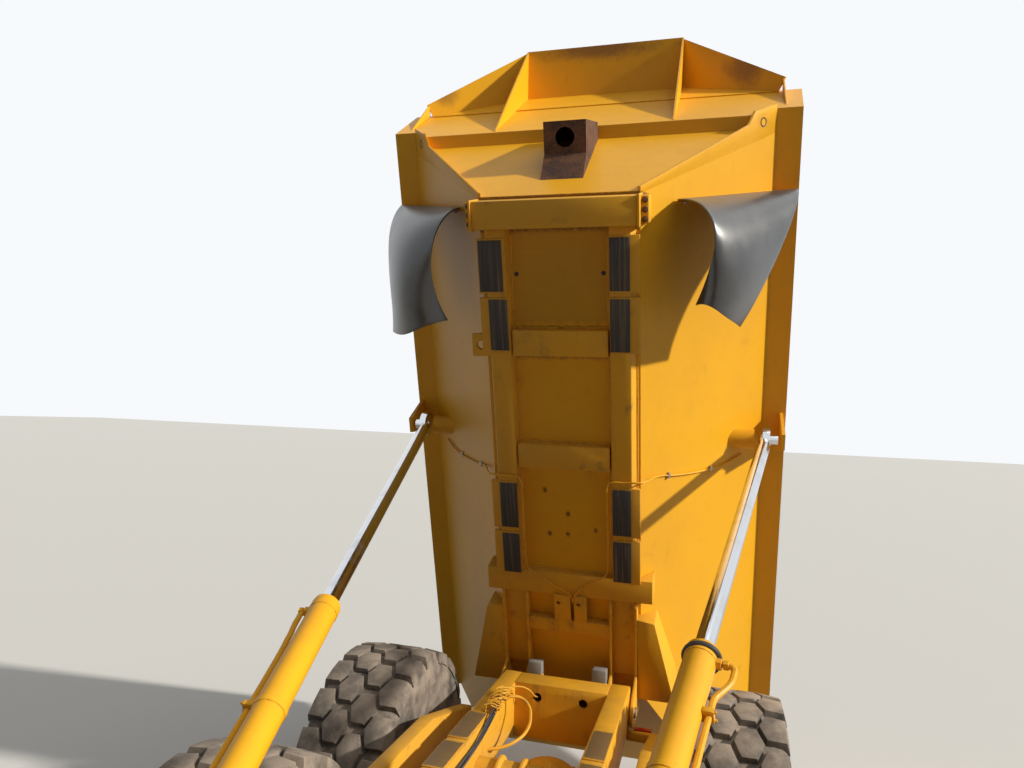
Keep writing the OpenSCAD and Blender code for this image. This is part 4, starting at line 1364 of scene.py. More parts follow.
@dataclass
class Underframe(SubAssembly):
    """Everything welded below the load body's floor: long beams, cross members, hinge legs and brackets.

    Attributes:
        floor: height of the floor plate's underside above the hinge.
        low: underside of the long beams.
        floor_half: half width of the flat floor.
        ears: where the two ears of a hinge leg start.
        ear: thickness and outer radius of an ear.
        pads: start and end of each wear pad.
        pad_seat: inner and outer edge of a pad's seat.
        pad: inner and outer edge of a pad.
        odd_pad: the same for the front pad on the right.
    """

    floor: float = 0.2697
    low: float = 0.195
    floor_half: float = 0.500
    ears: Pair = (0.288, 0.462)
    ear: Pair = (0.020, 0.105)
    pads: tuple[Pair, ...] = ((2.880, 3.200), (2.500, 2.830), (1.240, 1.570), (0.890, 1.190))
    pad_seat: Pair = (0.322, 0.505)
    pad: Pair = (0.325, 0.446)
    odd_pad: Pair = (0.345, 0.496)

    def flank(self, x: float) -> float:
        """Height of the flank's underside at a place across."""
        return self.floor + max(0.0, x - self.floor_half) * FLANK_SLOPE

    def beams(self) -> list[Piece]:
        """The long beam of one side, with its pad seats.

        Returns:
            The pieces.
        """
        outline = [(0.306, self.floor), (0.322, self.low), (0.451, self.low), (0.479, self.floor)]
        parts = [slab("long_beam", "Y", outline, (0.894, 3.271), BODY, 0.006)]
        for first, last in self.pads:
            low, high = (self.pad_seat[0], first - 0.012, 0.189), (self.pad_seat[1], last + 0.012, 0.215)
            parts.append(block("pad_seat", low, high, BODY, 0.003))
        return parts

    def leg(self) -> list[Piece]:
        """The hinge leg of one side: its face plate, two ears and outer gusset.

        Returns:
            The pieces.
        """
        thickness, radius = self.ear
        outline = [(0.750, self.floor), (0.690, self.low), (0.150, 0.185), (radius, 0.020)]
        outline += [*arc((0.0, 0.0), radius, 0.0, -180.0, 14), (-0.200, self.floor)]
        parts = [block("leg_face", (0.307, 0.120, 0.235), (0.463, 0.730, self.floor), BODY, 0.002)]
        for x in self.ears:
            parts.append(slab("ear", "X", outline, (x, x + thickness), BODY, 0.004))
        gusset = slab(
            "gusset", "Z", [(0.481, -0.045), (0.740, -0.045), (0.600, 0.580), (0.481, 0.600)],
            (self.low, self.floor), BODY, 0.0,
        )
        for point in gusset.data.vertices:
            if (point.co - HINGE).dot(BODY_UP) > self.floor - 0.01:
                point.co += BODY_UP * (self.flank(point.co.x) - self.floor)
        modified(gusset, "BEVEL", width=0.003, segments=2)
        return [*parts, gusset]

    def ends(self) -> list[Piece]:
        """What ends the front cross beam on one side, and the carrier of the rubber flap.

        Returns:
            The pieces.
        """
        half = self.floor_half
        plate = block("beam_end", (half - 0.001, 3.262, 0.086), (half + 0.014, 3.448, self.flank(half)), BODY, 0.002)
        outline = [(half + 0.013, 0.170), (half + 0.058, 0.170)]
        outline += [(half + 0.058, self.flank(half + 0.058)), (half + 0.013, self.flank(half + 0.013))]
        bracket = slab("beam_bracket", "Y", outline, (3.276, 3.434), BODY, 0.003)
        outline = [(0.688, self.flank(0.688)), (1.300, self.flank(1.300)), (1.450, 1.2695), (1.450, 1.244)]
        carrier = slab("flap_carrier", "Y", [*outline, (0.700, self.flank(0.700) - 0.030)], (3.368, 3.380), BODY, 0.002)
        return [plate, bracket, carrier]

    def cross_members(self) -> list[Piece]:
        """The members across the body.

        Returns:
            The pieces.
        """
        half = 0.308
        parts = [block("front_cross_beam", (-0.5, 3.270, 0.100), (0.5, 3.440, self.floor), BODY, 0.007)]
        for first, last in ((1.685, 1.855), (2.460, 2.630)):
            parts.append(block("cross_member", (-half, first, 0.200), (half, last, self.floor), BODY, 0.006))
        parts.append(block("lower_bar", (-0.293, 0.430, 0.200), (0.293, 0.530, self.floor), BODY, 0.004))
        top = self.flank(0.585)
        outline = [(-0.585, 0.215), (0.585, 0.215), (0.585, top), (0.5, self.floor), (-0.5, self.floor), (-0.585, top)]
        parts.append(slab("hinge_beam", "Y", outline, (0.720, 0.895), BODY, 0.006))
        return parts

    def brackets(self) -> list[Piece]:
        """The two bored plates at the hinge beam, and the holed tab on the right-hand beam.

        Returns:
            The pieces.
        """
        parts = []
        for first, last in ((-0.100, 0.018), (0.042, 0.132)):
            plate = block("bored_plate", (first, 0.520, self.low), (last, 0.732, 0.220), BODY, 0.003)
            drill(plate, on_body(first + 0.032, 0.670, 0.207), BODY_UP, 0.014, 0.08)
            parts.append(plate)
        tab = block("holed_tab", (-0.580, 2.456, 0.200), (-0.450, 2.604, 0.230), BODY, 0.004)
        drill(tab, on_body(-0.520, 2.530, 0.215), BODY_UP, 0.030, 0.08)
        return [*parts, tab]

    def welds(self) -> Piece:
        """The weld beads along the beams and members, as low uneven ropes of metal.

        Returns:
            The piece.
        """
        lines = []
        for s in (-1, 1):
            for x, w in ((0.305, 0.2665), (0.481, 0.2665)):
                lines.append([on_body(s * x, 0.90 + 0.075 * k, w) for k in range(32)])
            for u in (0.716, 0.899, 1.681, 1.859, 2.456, 2.634):
                lines.append([on_body(s * (0.02 + 0.0475 * k), u, 0.266) for k in range(7)])
        beads = []
        for k, line in enumerate(lines):
            wobble = [p + Vector([random.uniform(-1, 1) for _ in range(3)]) * 0.0015 for p in line]
            beads.append(tube(f"bead_{k}", wobble, 0.0065))
        return join("underframe_welds", beads)

    def wear_pads(self) -> Piece:
        """The ribbed rubber pads that rest on the chassis rails.

        Returns:
            The piece.
        """
        pads = []
        for s in (-1, 1):
            for k, (first, last) in enumerate(self.pads):
                inner, outer = self.odd_pad if s < 0 and k == 0 else self.pad
                low, high = sorted((s * inner, s * outer))
                pads.append(block("pad", (low, first, 0.180), (high, last, 0.1887), BODY, 0.002))
                for rib in range(1, 6):
                    x = low + (high - low) * rib / 6.0
                    corners = (x - 0.006, first + 0.004, 0.1785), (x + 0.006, last - 0.004, 0.1815)
                    pads.append(block("rib", *corners, BODY, 0.001))
        return join("ribbed_wear_pads", pads)

    def build(self) -> None:
        """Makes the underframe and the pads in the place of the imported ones."""
        parts = mirrored([*self.beams(), *self.leg(), *self.ends()])
        frame_piece = smooth(join("body_frame", [*parts, *self.cross_members(), *self.brackets()]), 30.0)
        self.fit(frame_piece, Slot.FRAME_PAINT, "dump_body", "body_underframe")
        self.fit(self.welds(), Slot.FRAME_PAINT, "dump_body")
        pads = smooth(self.wear_pads(), 30.0)
        self.fit(pads, Slot.FLAP_RUBBER, "dump_body", "wear_pads")
        pads.data.materials[0] = WearPad("wear_pad").build()


@dataclass
class BodyEdges(SubAssembly):
    """The lips of the flank plates beside the front wall, and the end plates under the guard.

    Attributes:
        lip: outline of the lip on the flank: ahead of the hinge and above it.
        hole: middle of the lifting hole, across, ahead and up.
    """

    lip: tuple[Pair, ...] = (
        (3.440, 0.272), (3.484, 0.272), (3.811, 1.045), (3.898, 1.095), (3.898, 1.111), (3.943, 1.268), (3.760, 1.268),
    )
    hole: Triple = (1.206, 3.828, 1.160)

    def build(self) -> None:
        """Makes the lips with their lifting holes and the end plates, and closes the lifting holes and the floor's
        drain holes with black discs as painted shade.
        """
        lip = slab("flank_lip", "X", list(self.lip), (-0.0179, 0.0), BODY, 0.002)
        for point in lip.data.vertices:
            point.co.x += 0.500 + ((point.co - HINGE).dot(BODY_UP) - RECESS_TOP) / FLANK_SLOPE
        across = (Vector((FLANK_SLOPE, 0.0, 0.0)) - BODY_UP).normalized()
        drill(lip, on_body(*self.hole), across, 0.025, 0.2)
        outline = [(3.9276, 1.330), (4.142, 1.764), (4.0566, 1.764)]
        end = slab("guard_end", "X", outline, (1.355, 1.367), BODY, 0.002)
        edges = smooth(join("flank_lips", mirrored([lip, end])), 30.0)
        self.fit(edges, Slot.BODY_PAINT, "dump_body")
        # The black discs in the lifting holes and drain holes are painted shade: they stand for the dark inside of the
        # holes.
        rims = [self.eye(side) for side in Side] + [self.drain(x, u) for x, u in ((-0.277, 2.979), (0.276, 2.978))]
        self.fit(smooth(join("lifting_holes", rims), 40.0), Slot.BLACK_STEEL, "dump_body")

    def eye(self, side: Side) -> Piece:
        """Models one lifting hole's rim with a black disc across its mouth, as painted shade inside the hole, set into
        the flank.

        Args:
            side: which flank.

        Returns:
            The mouth.
        """
        x, u, w = self.hole
        across = (Vector((side.value * FLANK_SLOPE, 0.0, 0.0)) - BODY_UP).normalized()
        place = facing(on_body(side.value * x, u, w) + across * 0.004, across)
        outline = [(0.0, 0.001), (0.0, 0.021), (0.003, 0.025), (0.003, 0.030), (-0.004, 0.032), (-0.004, 0.001)]
        return collar("eye", outline, place @ OUT_OF_PLATE, 32)

    def drain(self, x: float, forward: float) -> Piece:
        """Models the rim of one small drain hole in the floor between the long beams, with a black disc across it as
        painted shade inside the hole.

        Args:
            x: across.
            forward: ahead of the hinge.

        Returns:
            The rim.
        """
        place = facing(on_body(x, forward, RECESS_TOP), -BODY_UP)
        outline = [(-0.004, 0.001), (0.001, 0.001), (0.001, 0.007), (0.004, 0.010), (0.002, 0.014), (-0.004, 0.014)]
        return collar("drain", outline, place @ OUT_OF_PLATE, 16)


@dataclass
class Hoists(SubAssembly):
    """The two hoist barrels with their feet, oil pipes, clamps and elbows, and the loose wiper ring.

    Attributes:
        length: from the foot's ball to the barrel's open end.
        radius: of the barrel.
        mouth: radius of the rod's opening.
        foot: radius of the foot's eye, and half its thickness.
        ball: radius of the ball's seat in it.
        pipe: distance of the oil pipe from the barrel's axis, and its radius.
        pipe_ends: where the straight pipe starts and ends along the barrel.
        bulge: how far the pipe's elbow stands out from its straight run, for each side.
        clamps: where the clamps hold the pipe, for each side.
        wiper: outer radius of the loose ring.
    """

    length: float = 2.400
    radius: float = 0.072
    mouth: float = 0.0458
    foot: Pair = (0.095, 0.025)
    ball: float = 0.0445
    pipe: Pair = (0.096, 0.014)
    pipe_ends: Pair = (0.420, 2.060)
    bulge: dict[Side, float] = field(default_factory=lambda: {Side.LEFT: 0.056, Side.RIGHT: 0.012})
    clamps: dict[Side, tuple[float, ...]] = field(default_factory=lambda: {
        Side.LEFT: (0.46, 1.12, 1.69, 2.03), Side.RIGHT: (0.46, 1.12, 1.69),
    })
    wiper: float = 0.090

    def axis(self, side: Side) -> Matrix:
        """A frame at the foot with local X along the cylinder and local Y away from its pipe.

        Args:
            side: which side of the truck.

        Returns:
            The frame.
        """
        name = side.word
        along = Vector(next(j["axis"] for j in frame["joints"] if j["name"] == f"hoist_slide_{name}")).normalized()
        flat = Vector((along.x, along.y, 0.0)).normalized() * side.value
        away = Vector((-flat.y, flat.x, 0.0))
        turn = Matrix((along, away, along.cross(away))).transposed().to_4x4()
        return Matrix.Translation(joint_place(f"hoist_swing_{name}")) @ turn

    def barrel(self, side: Side) -> Piece:
        """Models one barrel with its neck, band, gland and foot.

        Args:
            side: which side of the truck.

        Returns:
            The piece.
        """
        r, end = self.radius, self.length
        outline = [(0.060, 0.010), (0.060, 0.038), (0.112, 0.038), (0.124, 0.062), (0.140, r - 0.001), (0.160, r)]
        outline += [(1.668, r), (1.671, r + 0.004), (1.701, r + 0.004), (1.704, r), (end - 0.072, r)]
        outline += [(end - 0.070, r + 0.003), (end - 0.018, r + 0.003), (end - 0.015, r), (end - 0.003, r)]
        outline += [(end, r - 0.003), (end, self.mouth), (0.150, self.mouth), (0.150, 0.010)]
        body = collar("barrel", outline, self.axis(side))
        outer, half = self.foot
        outline = [(-half, self.ball), (-half, outer - 0.005), (-half + 0.005, outer), (half - 0.005, outer)]
        outline += [(half, outer - 0.005), (half, self.ball)]
        eye = collar("foot", outline, Matrix.Translation(joint_place(f"hoist_swing_{side.word}")))
        return join(f"barrel_{side.word}_body", [body, eye])

    def piping(self, side: Side) -> list[Piece]:
        """Models the oil pipe with its elbow, port nuts, lower bend and clamps.

        Args:
            side: which side of the truck.

        Returns:
            The pieces.
        """
        place = self.axis(side)
        out, radius = self.pipe
        far = self.bulge[side]
        port = self.length - 0.065
        line = [(port, 0.066), (port, out + far * 0.4), (self.length - 0.080, out + far * 0.9)]
        line += [(self.length - 0.125, out + far), (self.length - 0.175, out + far * 0.9)]
        line += [(self.length - 0.235, out + far * 0.4), (self.length - 0.275, out + 0.004)]
        line += [(self.pipe_ends[1], out), (1.2, out), (self.pipe_ends[0], out)]
        line += [(0.330, out - 0.002), (0.290, 0.085), (0.270, 0.060)]
        parts = [tube("oil_pipe", [place @ Vector((x, -y, 0.0)) for x, y in line], radius)]
        outward = place.to_3x3() @ Vector((0.0, -1.0, 0.0))
        for base, width in ((self.radius, 0.026), (0.102, 0.021)):
            clear_selection()
            bpy.ops.mesh.primitive_cylinder_add(vertices=6, radius=width, depth=0.020, location=(0.0, 0.0, 0.010))
            nut = settle("port_nut")
            with edited(nut, lambda centre, normal: abs(normal.z) > 0.9):
                bpy.ops.mesh.inset(thickness=0.004, depth=0.002)
            nut.data.transform(facing(place @ Vector((port, -base, 0.0)), outward))
            parts.append(nut)
        bolts = []
        for x in self.clamps[side]:
            low, high = (x - 0.014, -out - radius - 0.006, -0.030), (x + 0.014, -self.radius + 0.004, 0.030)
            parts.append(block("pipe_clamp", low, high, place, 0.004))
            bolts += [(place @ Vector((x, -out - radius - 0.006, z)), outward) for z in (-0.021, 0.021)]
        parts.append(Bolt(0.013, 0.006, 0.016).row("clamp_bolts", bolts))
        return parts

    def ring(self) -> Piece:
        """Models the loose wiper ring that hangs round the left-hand barrel's open end.

        Returns:
            The piece.
        """
        outer, inner = self.wiper, self.radius + 0.006
        outline = [(0.0, inner), (0.004, outer - 0.003), (0.012, outer), (0.022, outer - 0.002), (0.026, inner + 0.002)]
        hang = self.axis(Side.LEFT) @ Matrix.Translation((self.length - 0.055, 0.0, 0.0))
        tilt = Matrix.Rotation(math.radians(4.0), 4, "Z") @ Matrix.Translation((0.0, -0.004, -0.004))
        return smooth(collar("wiper_ring", outline, hang @ tilt), 50.0)

    def build(self) -> None:
        """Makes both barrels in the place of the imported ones."""
        for side in Side:
            node = f"hoist_barrel_{side.word}"
            piece = smooth(join(f"piped_{node}", [self.barrel(side), *self.piping(side)]), 32.0)
            self.fit(piece, Slot.BODY_PAINT, node, node)
        self.fit(self.ring(), Slot.BLACK_STEEL, "hoist_barrel_left")


@dataclass
class RearFrame(SubAssembly):
    """The rear chassis: rails, cross members, hoist lugs, pads, stops and walking beams.

    Attributes:
        rail: inner and outer face of a rail.
        foot: the hoist foot, across, along and up.
        bogie: the walking beams' middle, along and up.
    """

    rail: Pair = (0.316, 0.448)
    foot: Triple = (0.560, -3.918, 1.274)
    bogie: Pair = (-1.370, 1.030)

    def side_parts(self) -> list[Piece]:
        """One rail with what stands on its side.

        Returns:
            The pieces.
        """
        inner, outer = self.rail
        outline = [(-4.150, 0.800), (-3.600, 0.960), (-0.340, 1.080), (-0.060, 1.140), (0.080, 1.180)]
        outline += [(0.080, 1.300), (0.030, RAIL_TOP), (-3.000, RAIL_TOP), (-3.150, 1.318), (-4.150, 1.180)]
        parts = [slab("rail", "X", outline, self.rail, GROUND, 0.010)]
        outline = [(inner, 0.0354), (inner, 0.090), (inner + 0.005, 0.095), (outer + 0.001, 0.095)]
        outline += [(outer + 0.006, 0.090), (outer + 0.006, 0.0354)]
        parts.append(collar("hinge_eye", outline, Matrix.Translation((0.0, HINGE.y, HINGE.z))))
        x, y, z = self.foot
        outline = [(y - 0.090, z - 0.150), (y - 0.055, z + 0.020), (y - 0.030, z + 0.055), (y + 0.030, z + 0.055)]
        outline += [(y + 0.055, z + 0.020), (y + 0.090, z - 0.150)]
        for start in (x - 0.072, x + 0.066):
            parts.append(slab("hoist_lug", "X", outline, (start, start + 0.025), GROUND, 0.004))
        for name, low, high, rounding in (
            ("lug_base", (outer - 0.010, y - 0.090, z - 0.190), (x + 0.091, y + 0.090, z - 0.120), 0.006),
            ("stop_bracket", (0.180, -0.001, 1.360), (0.280, 0.085, 1.400), 0.004),
            ("lamp_arm", (0.438, 0.0, 1.050), (0.600, 0.040, 1.110), 0.004),
            ("lamp_root", (0.418, 0.0, 1.060), (0.448, 0.040, 1.200), 0.004),
            *(
                ("rail_pad", (0.325, first, RAIL_TOP - 0.001), (0.446, last, RAIL_TOP + 0.008), 0.002)
                for first, last in RAIL_PADS
            ),
        ):
            parts.append(block(name, low, high, GROUND, rounding))
        return parts

    def cross_parts(self) -> list[Piece]:
        """The members between the rails.

        Returns:
            The pieces.
        """
        half = self.rail[0] + 0.001
        parts = [
            block(name, low, high, GROUND, rounding)
            for name, low, high, rounding in (
                ("rear_plate", (-half, -0.200, 1.050), (half, -0.175, RAIL_TOP + 0.003), 0.003),
                ("rear_top", (-half, -0.190, RAIL_TOP - 0.018), (half, 0.0, RAIL_TOP + 0.004), 0.005),
                ("rear_floor", (-half, -0.190, 1.050), (half, 0.0, 1.070), 0.003),
                ("rear_back", (-half, -0.020, 1.060), (half, 0.0, RAIL_TOP), 0.003),
                ("middle_member", (-half, -2.900, 1.050), (half, -2.700, 1.330), 0.008),
                ("neck_plate", (-0.448, -4.150, 0.760), (0.448, -4.110, 1.180), 0.006),
                ("exhaust_seat", (-half, -3.900, 1.180), (half, -3.690, 1.200), 0.003),
            )
        ]
        for x in (-0.158, 0.158):
            drill(parts[0], Vector((x, HINGE.y - 0.190, 1.325)), Vector((0.0, 1.0, 0.0)), 0.031, 0.10)
        r, wide = 0.118, 0.144
        outline = [(-half, 0.090), (-half, r)]
        for x in (-0.200, -0.060, 0.080, 0.220):
            outline += [(x - 0.004, r), (x + 0.004, wide - 0.005), (x + 0.011, wide), (x + 0.023, wide)]
            outline += [(x + 0.030, wide - 0.005), (x + 0.038, r)]
        outline += [(half, r), (half, 0.090)]
        parts.append(collar("cross_tube", outline, Matrix.Translation((0.0, HINGE.y - 1.000, 1.120))))
        outline = [(-4.420, 0.1604), (-4.420, 0.234), (-4.414, 0.240), (-4.149, 0.240)]
        outline += [(-4.149, 0.020), (-4.180, 0.020), (-4.180, 0.1604)]
        turn = GROUND @ Matrix.Translation((0.0, 0.0, 0.940)) @ ALONG_Y
        parts.append(collar("pivot_tube", outline, turn, 64))
        return parts

    def walking_beams(self) -> Piece:
        """The two beams that carry the rear axles, with the tube between them.

        Returns:
            The piece.
        """
        (y, z), seat = self.bogie, 0.9253
        outline = [(y - 1.140, seat), (y - 1.140, 1.220), (y - 0.390, 1.410), (y + 0.390, 1.410), (y + 1.140, 1.220)]
        outline += [(y + 1.140, seat), (y + 0.700, seat), (y + 0.200, 0.900), (y - 0.200, 0.900), (y - 0.700, seat)]
        beam = slab("walking_beam", "X", outline, (0.610, 0.700), GROUND, 0.010)
        outline = [(-0.620, 0.060), (-0.620, 0.086), (-0.616, 0.090), (0.616, 0.090), (0.620, 0.086), (0.620, 0.060)]
        at = GROUND @ Matrix.Translation((0.0, y, z))
        parts = [*mirrored([beam]), collar("beam_tube", outline, at)]
        for s in (-1, 1):
            rim = [(0.700 * s, 0.020), (0.700 * s, 0.120), (0.716 * s, 0.112), (0.720 * s, 0.020)]
            parts.append(collar("beam_cap", rim, at))
        return smooth(join("rear_walking_beams", parts), 30.0)

    def stops(self) -> Piece:
        """The grey rubber stops on the rear cross member."""
        stop = block("stop", (0.180, 0.001, 1.4003), (0.280, 0.085, 1.496), GROUND, 0.008)
        return smooth(join("rubber_stops", mirrored([stop])), 30.0)

    def build(self) -> None:
        """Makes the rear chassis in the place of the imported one."""
        for piece, node, slot in (
            (smooth(join("rear_chassis", [*mirrored(self.side_parts()), *self.cross_parts()]), 30.0),
             "trailer_frame", Slot.FRAME_PAINT),
            (self.walking_beams(), "bogie_beams", Slot.FRAME_PAINT),
            (self.stops(), "bump_stops", Slot.GREY_RUBBER),
        ):
            self.fit(piece, slot, "trailer", node)


@dataclass
class GreaseLines(SubAssembly):
    """The thin pipes below the load body that feed the hoist eyes and the hinge.

    Attributes:
        radius: of a pipe.
        high: the run down the flank from the hoist eye: across and ahead of the hinge.
        low: the run over the long beam and down beside the pads: across, ahead and up.
    """

    radius: float = 0.0065
    high: tuple[Pair, ...] = ((1.140, 1.520), (1.020, 1.490), (0.850, 1.515), (0.700, 1.560), (0.600, 1.600))
    low: tuple[Triple, ...] = (
        (0.530, 1.628, 0.215), (0.505, 1.634, 0.182), (0.400, 1.628, 0.180), (0.318, 1.622, 0.179),
        (0.294, 1.598, 0.182), (0.290, 1.500, 0.187), (0.290, 1.250, 0.188), (0.290, 1.020, 0.190),
    )

    def flank(self, x: float, forward: float, off: float) -> Vector:
        """A point at a distance off the flank's outside, with the body raised."""
        up = RECESS_TOP + (abs(x) - 0.500) * FLANK_SLOPE - off * 0.62
        return on_body(x + math.copysign(off * 0.78, x), forward, up)

    def line(self, side: Side) -> Piece:
        """Models the pipe of one side with its branch to the tee.

        Args:
            side: which side of the truck.

        Returns:
            The piece.
        """
        s = side.value
        points = [self.flank(s * x, u, 0.012) for x, u in self.high]
        points += [on_body(s * x, u, w) for x, u, w in self.low]
        pipe = tube("grease_pipe", points, self.radius)
        branch = [(0.290, 1.022, 0.190), (0.272, 0.930, 0.190), (0.180, 0.862, 0.203), (0.100, 0.800, 0.206)]
        points = [on_body(s * x, u, w) for x, u, w in branch]
        points += [on_body(0.037 + s * 0.012, 0.735, 0.190), on_body(0.037, 0.690, 0.185)]
        return join(f"grease_line_{side.word}", [pipe, tube("grease_branch", points, self.radius * 0.7)])

    def clips(self, side: Side) -> Piece:
        """Models the clips that hold the pipe to the flank.

        Args:
            side: which side of the truck.

        Returns:
            The piece.
        """
        parts = []
        out = self.flank(side.value * 0.8, 1.5, 1.0) - self.flank(side.value * 0.8, 1.5, 0.0)
        for x, u in ((0.930, 1.502), (0.660, 1.576)):
            clear_selection()
            bpy.ops.mesh.primitive_cube_add(size=1.0)
            clip = settle("clip")
            with edited(clip, lambda centre, normal: True):
                bpy.ops.transform.resize(value=(0.018, 0.040, 0.020))
                bpy.ops.mesh.bevel(offset=0.003, segments=2, affect="EDGES")
            clip.data.transform(facing(self.flank(side.value * x, u, 0.009), out.normalized()))
            parts.append(clip)
        return smooth(join(f"grease_clips_{side.word}", parts), 30.0)

    def build(self) -> None:
        """Lays the pipes on both sides."""
        for side in Side:
            for piece, slot in ((self.line(side), Slot.BODY_PAINT), (self.clips(side), Slot.BARE_STEEL)):
                self.fit(piece, slot, "dump_body")


@dataclass
class FrameLoom(SubAssembly):
    """Wires clipped along the right-hand rail, their painted knot and the bent pipe at the rear member.

    Attributes:
        strands: how far each strand lies from the loom's middle, across and up, and its radius.
        route: the loom's middle line, across, along and up.
        bent: the bent pipe's middle line.
        lead: the lead from the knot into the rear member's hole.
    """

    strands: tuple[Triple, ...] = (
        (0.000, -0.012, 0.0065), (0.002, 0.003, 0.0055), (0.001, 0.017, 0.0060), (0.012, -0.004, 0.0045),
        (0.011, 0.010, 0.0040),
    )
    route: tuple[Triple, ...] = (
        (-0.330, -0.420, 1.424), (-0.318, -0.560, 1.426), (-0.304, -0.740, 1.415), (-0.301, -0.900, 1.392),
        (-0.301, -1.080, 1.358), (-0.301, -1.370, 1.342), (-0.301, -1.700, 1.338), (-0.301, -2.100, 1.336),
        (-0.301, -2.500, 1.338), (-0.301, -2.690, 1.340), (-0.301, -2.860, 1.338), (-0.304, -3.020, 1.300),
        (-0.306, -3.160, 1.230),
    )
    bent: tuple[Triple, ...] = (
        (-0.318, -0.505, 1.402), (-0.262, -0.470, 1.412), (-0.212, -0.445, 1.400), (-0.160, -0.448, 1.365),
        (-0.128, -0.505, 1.315), (-0.126, -0.600, 1.265), (-0.170, -0.700, 1.232), (-0.240, -0.760, 1.208),
        (-0.318, -0.800, 1.200),
    )
    lead: tuple[Triple, ...] = (
        (-0.322, -0.380, 1.424), (-0.265, -0.320, 1.426), (-0.205, -0.268, 1.395), (-0.168, -0.225, 1.342),
        (-0.158, -0.185, 1.325),
    )

    def strand(self, k: int) -> Piece:
        """Models one strand of the loom.

        Args:
            k: the strand's number.

        Returns:
            The piece.
        """
        dx, dz, radius = self.strands[k]
        points = []
        for j, (x, y, z) in enumerate(self.route):
            sway = 0.006 * math.sin(j * 1.7 + k * 2.1)
            points.append(GROUND @ Vector((x + dx + 0.3 * abs(sway), y, z + dz + sway)))
        return tube(f"strand_{k}", points, radius)

    def knot(self) -> Piece:
        """Models the knot of spare wire, sprayed over with the frame's paint.

        Returns:
            The piece.
        """
        turns = []
        for k in range(9):
            points = []
            for j in range(12):
                angle = j * (1.15 + 0.05 * k) + k * 0.9
                points.append(GROUND @ Vector((
                    -0.318 + 0.046 * math.cos(angle) + random.uniform(-0.010, 0.010),
                    -0.445 - 0.031 * j + 0.020 * math.sin(angle * 1.3),
                    1.432 + 0.020 * math.sin(angle) + random.uniform(0.0, 0.012),
                )))
            turns.append(tube(f"turn_{k}", points, 0.0036))
        return join("wire_knot", turns)

    def clips(self) -> Piece:
        """Models the straps that hold the loom to the rail.

        Returns:
            The piece.
        """
        parts = [
            block("strap", (-0.317, y - 0.010, 1.336 - 0.032), (-0.282, y + 0.010, 1.336 + 0.032), GROUND, 0.004)
            for y in (-1.45, -1.90, -2.35)
        ]
        return smooth(join("loom_straps", parts), 30.0)

    def build(self) -> None:
        """Lays the loom and what belongs to it."""
        bent = tube("bent_pipe", on_ground(self.bent), 0.0105)
        lead = tube("hole_lead", on_ground(self.lead), 0.0055)
        loom = join("frame_loom", [self.strand(k) for k in range(len(self.strands))])
        for piece, slot in (
            (loom, Slot.DASH_PLASTIC),
            (self.clips(), Slot.BARE_STEEL),
            (join("bent_pipes", [bent, lead]), Slot.FRAME_PAINT),
            (self.knot(), Slot.FRAME_PAINT),
        ):
            self.fit(piece, slot, "trailer")


@dataclass
class Fasteners(SubAssembly):
    """Bolts of the load body's brackets, and the nuts and hub bolts of the wheels.

    Attributes:
        nuts: number of wheel nuts, their circle and how far out from the wheel's middle they stand.
        cap: the same for the bolts on the hub's end.
    """

    nuts: Triple = (18, 0.205, 0.1205)
    cap: Triple = (12, 0.112, 0.2325)

    def body_rows(self) -> list[tuple[Vector, Vector]]:
        """Places of the bolts below the load body."""
        return [(on_body(x, u, 0.170), -BODY_UP) for x in (-0.536, 0.536) for u in (3.300, 3.355, 3.410)]

    def circle(self, joint: str, ring_of: Triple) -> list[tuple[Vector, Vector]]:
        """Places of bolts in a circle on a wheel's outer face.

        Args:
            joint: the wheel's joint.
            ring_of: their number, the circle's radius and how far out they stand.

        Returns:
            Pairs of a place and the direction outwards.
        """
        count, radius, out = ring_of
        centre = joint_place(joint)
        side = math.copysign(1.0, centre.x)
        angles = (2.0 * math.pi * k / count for k in range(int(count)))
        outward = Vector((side, 0.0, 0.0))
        return [(centre + Vector((side * out, radius * math.cos(a), radius * math.sin(a))), outward) for a in angles]

    def build(self) -> None:
        """Sets the bolts."""
        self.fit(Bolt(0.026, 0.013, 0.036).row("body_bolts", self.body_rows()), Slot.RUSTY_STEEL, "dump_body")
        for body in [n for n in frame["bodies"] if n.startswith("wheel_")]:
            joint = body.replace("wheel_", "roll_")
            nuts = Bolt(0.042, 0.026, 0.052).row("nuts", self.circle(joint, self.nuts))
            caps = Bolt(0.022, 0.011, 0.028).row("caps", self.circle(joint, self.cap))
            piece = smooth(join(f"nuts_of_{body}", [nuts, caps]), 30.0)
            self.fit(piece, Slot.BARE_STEEL, body)


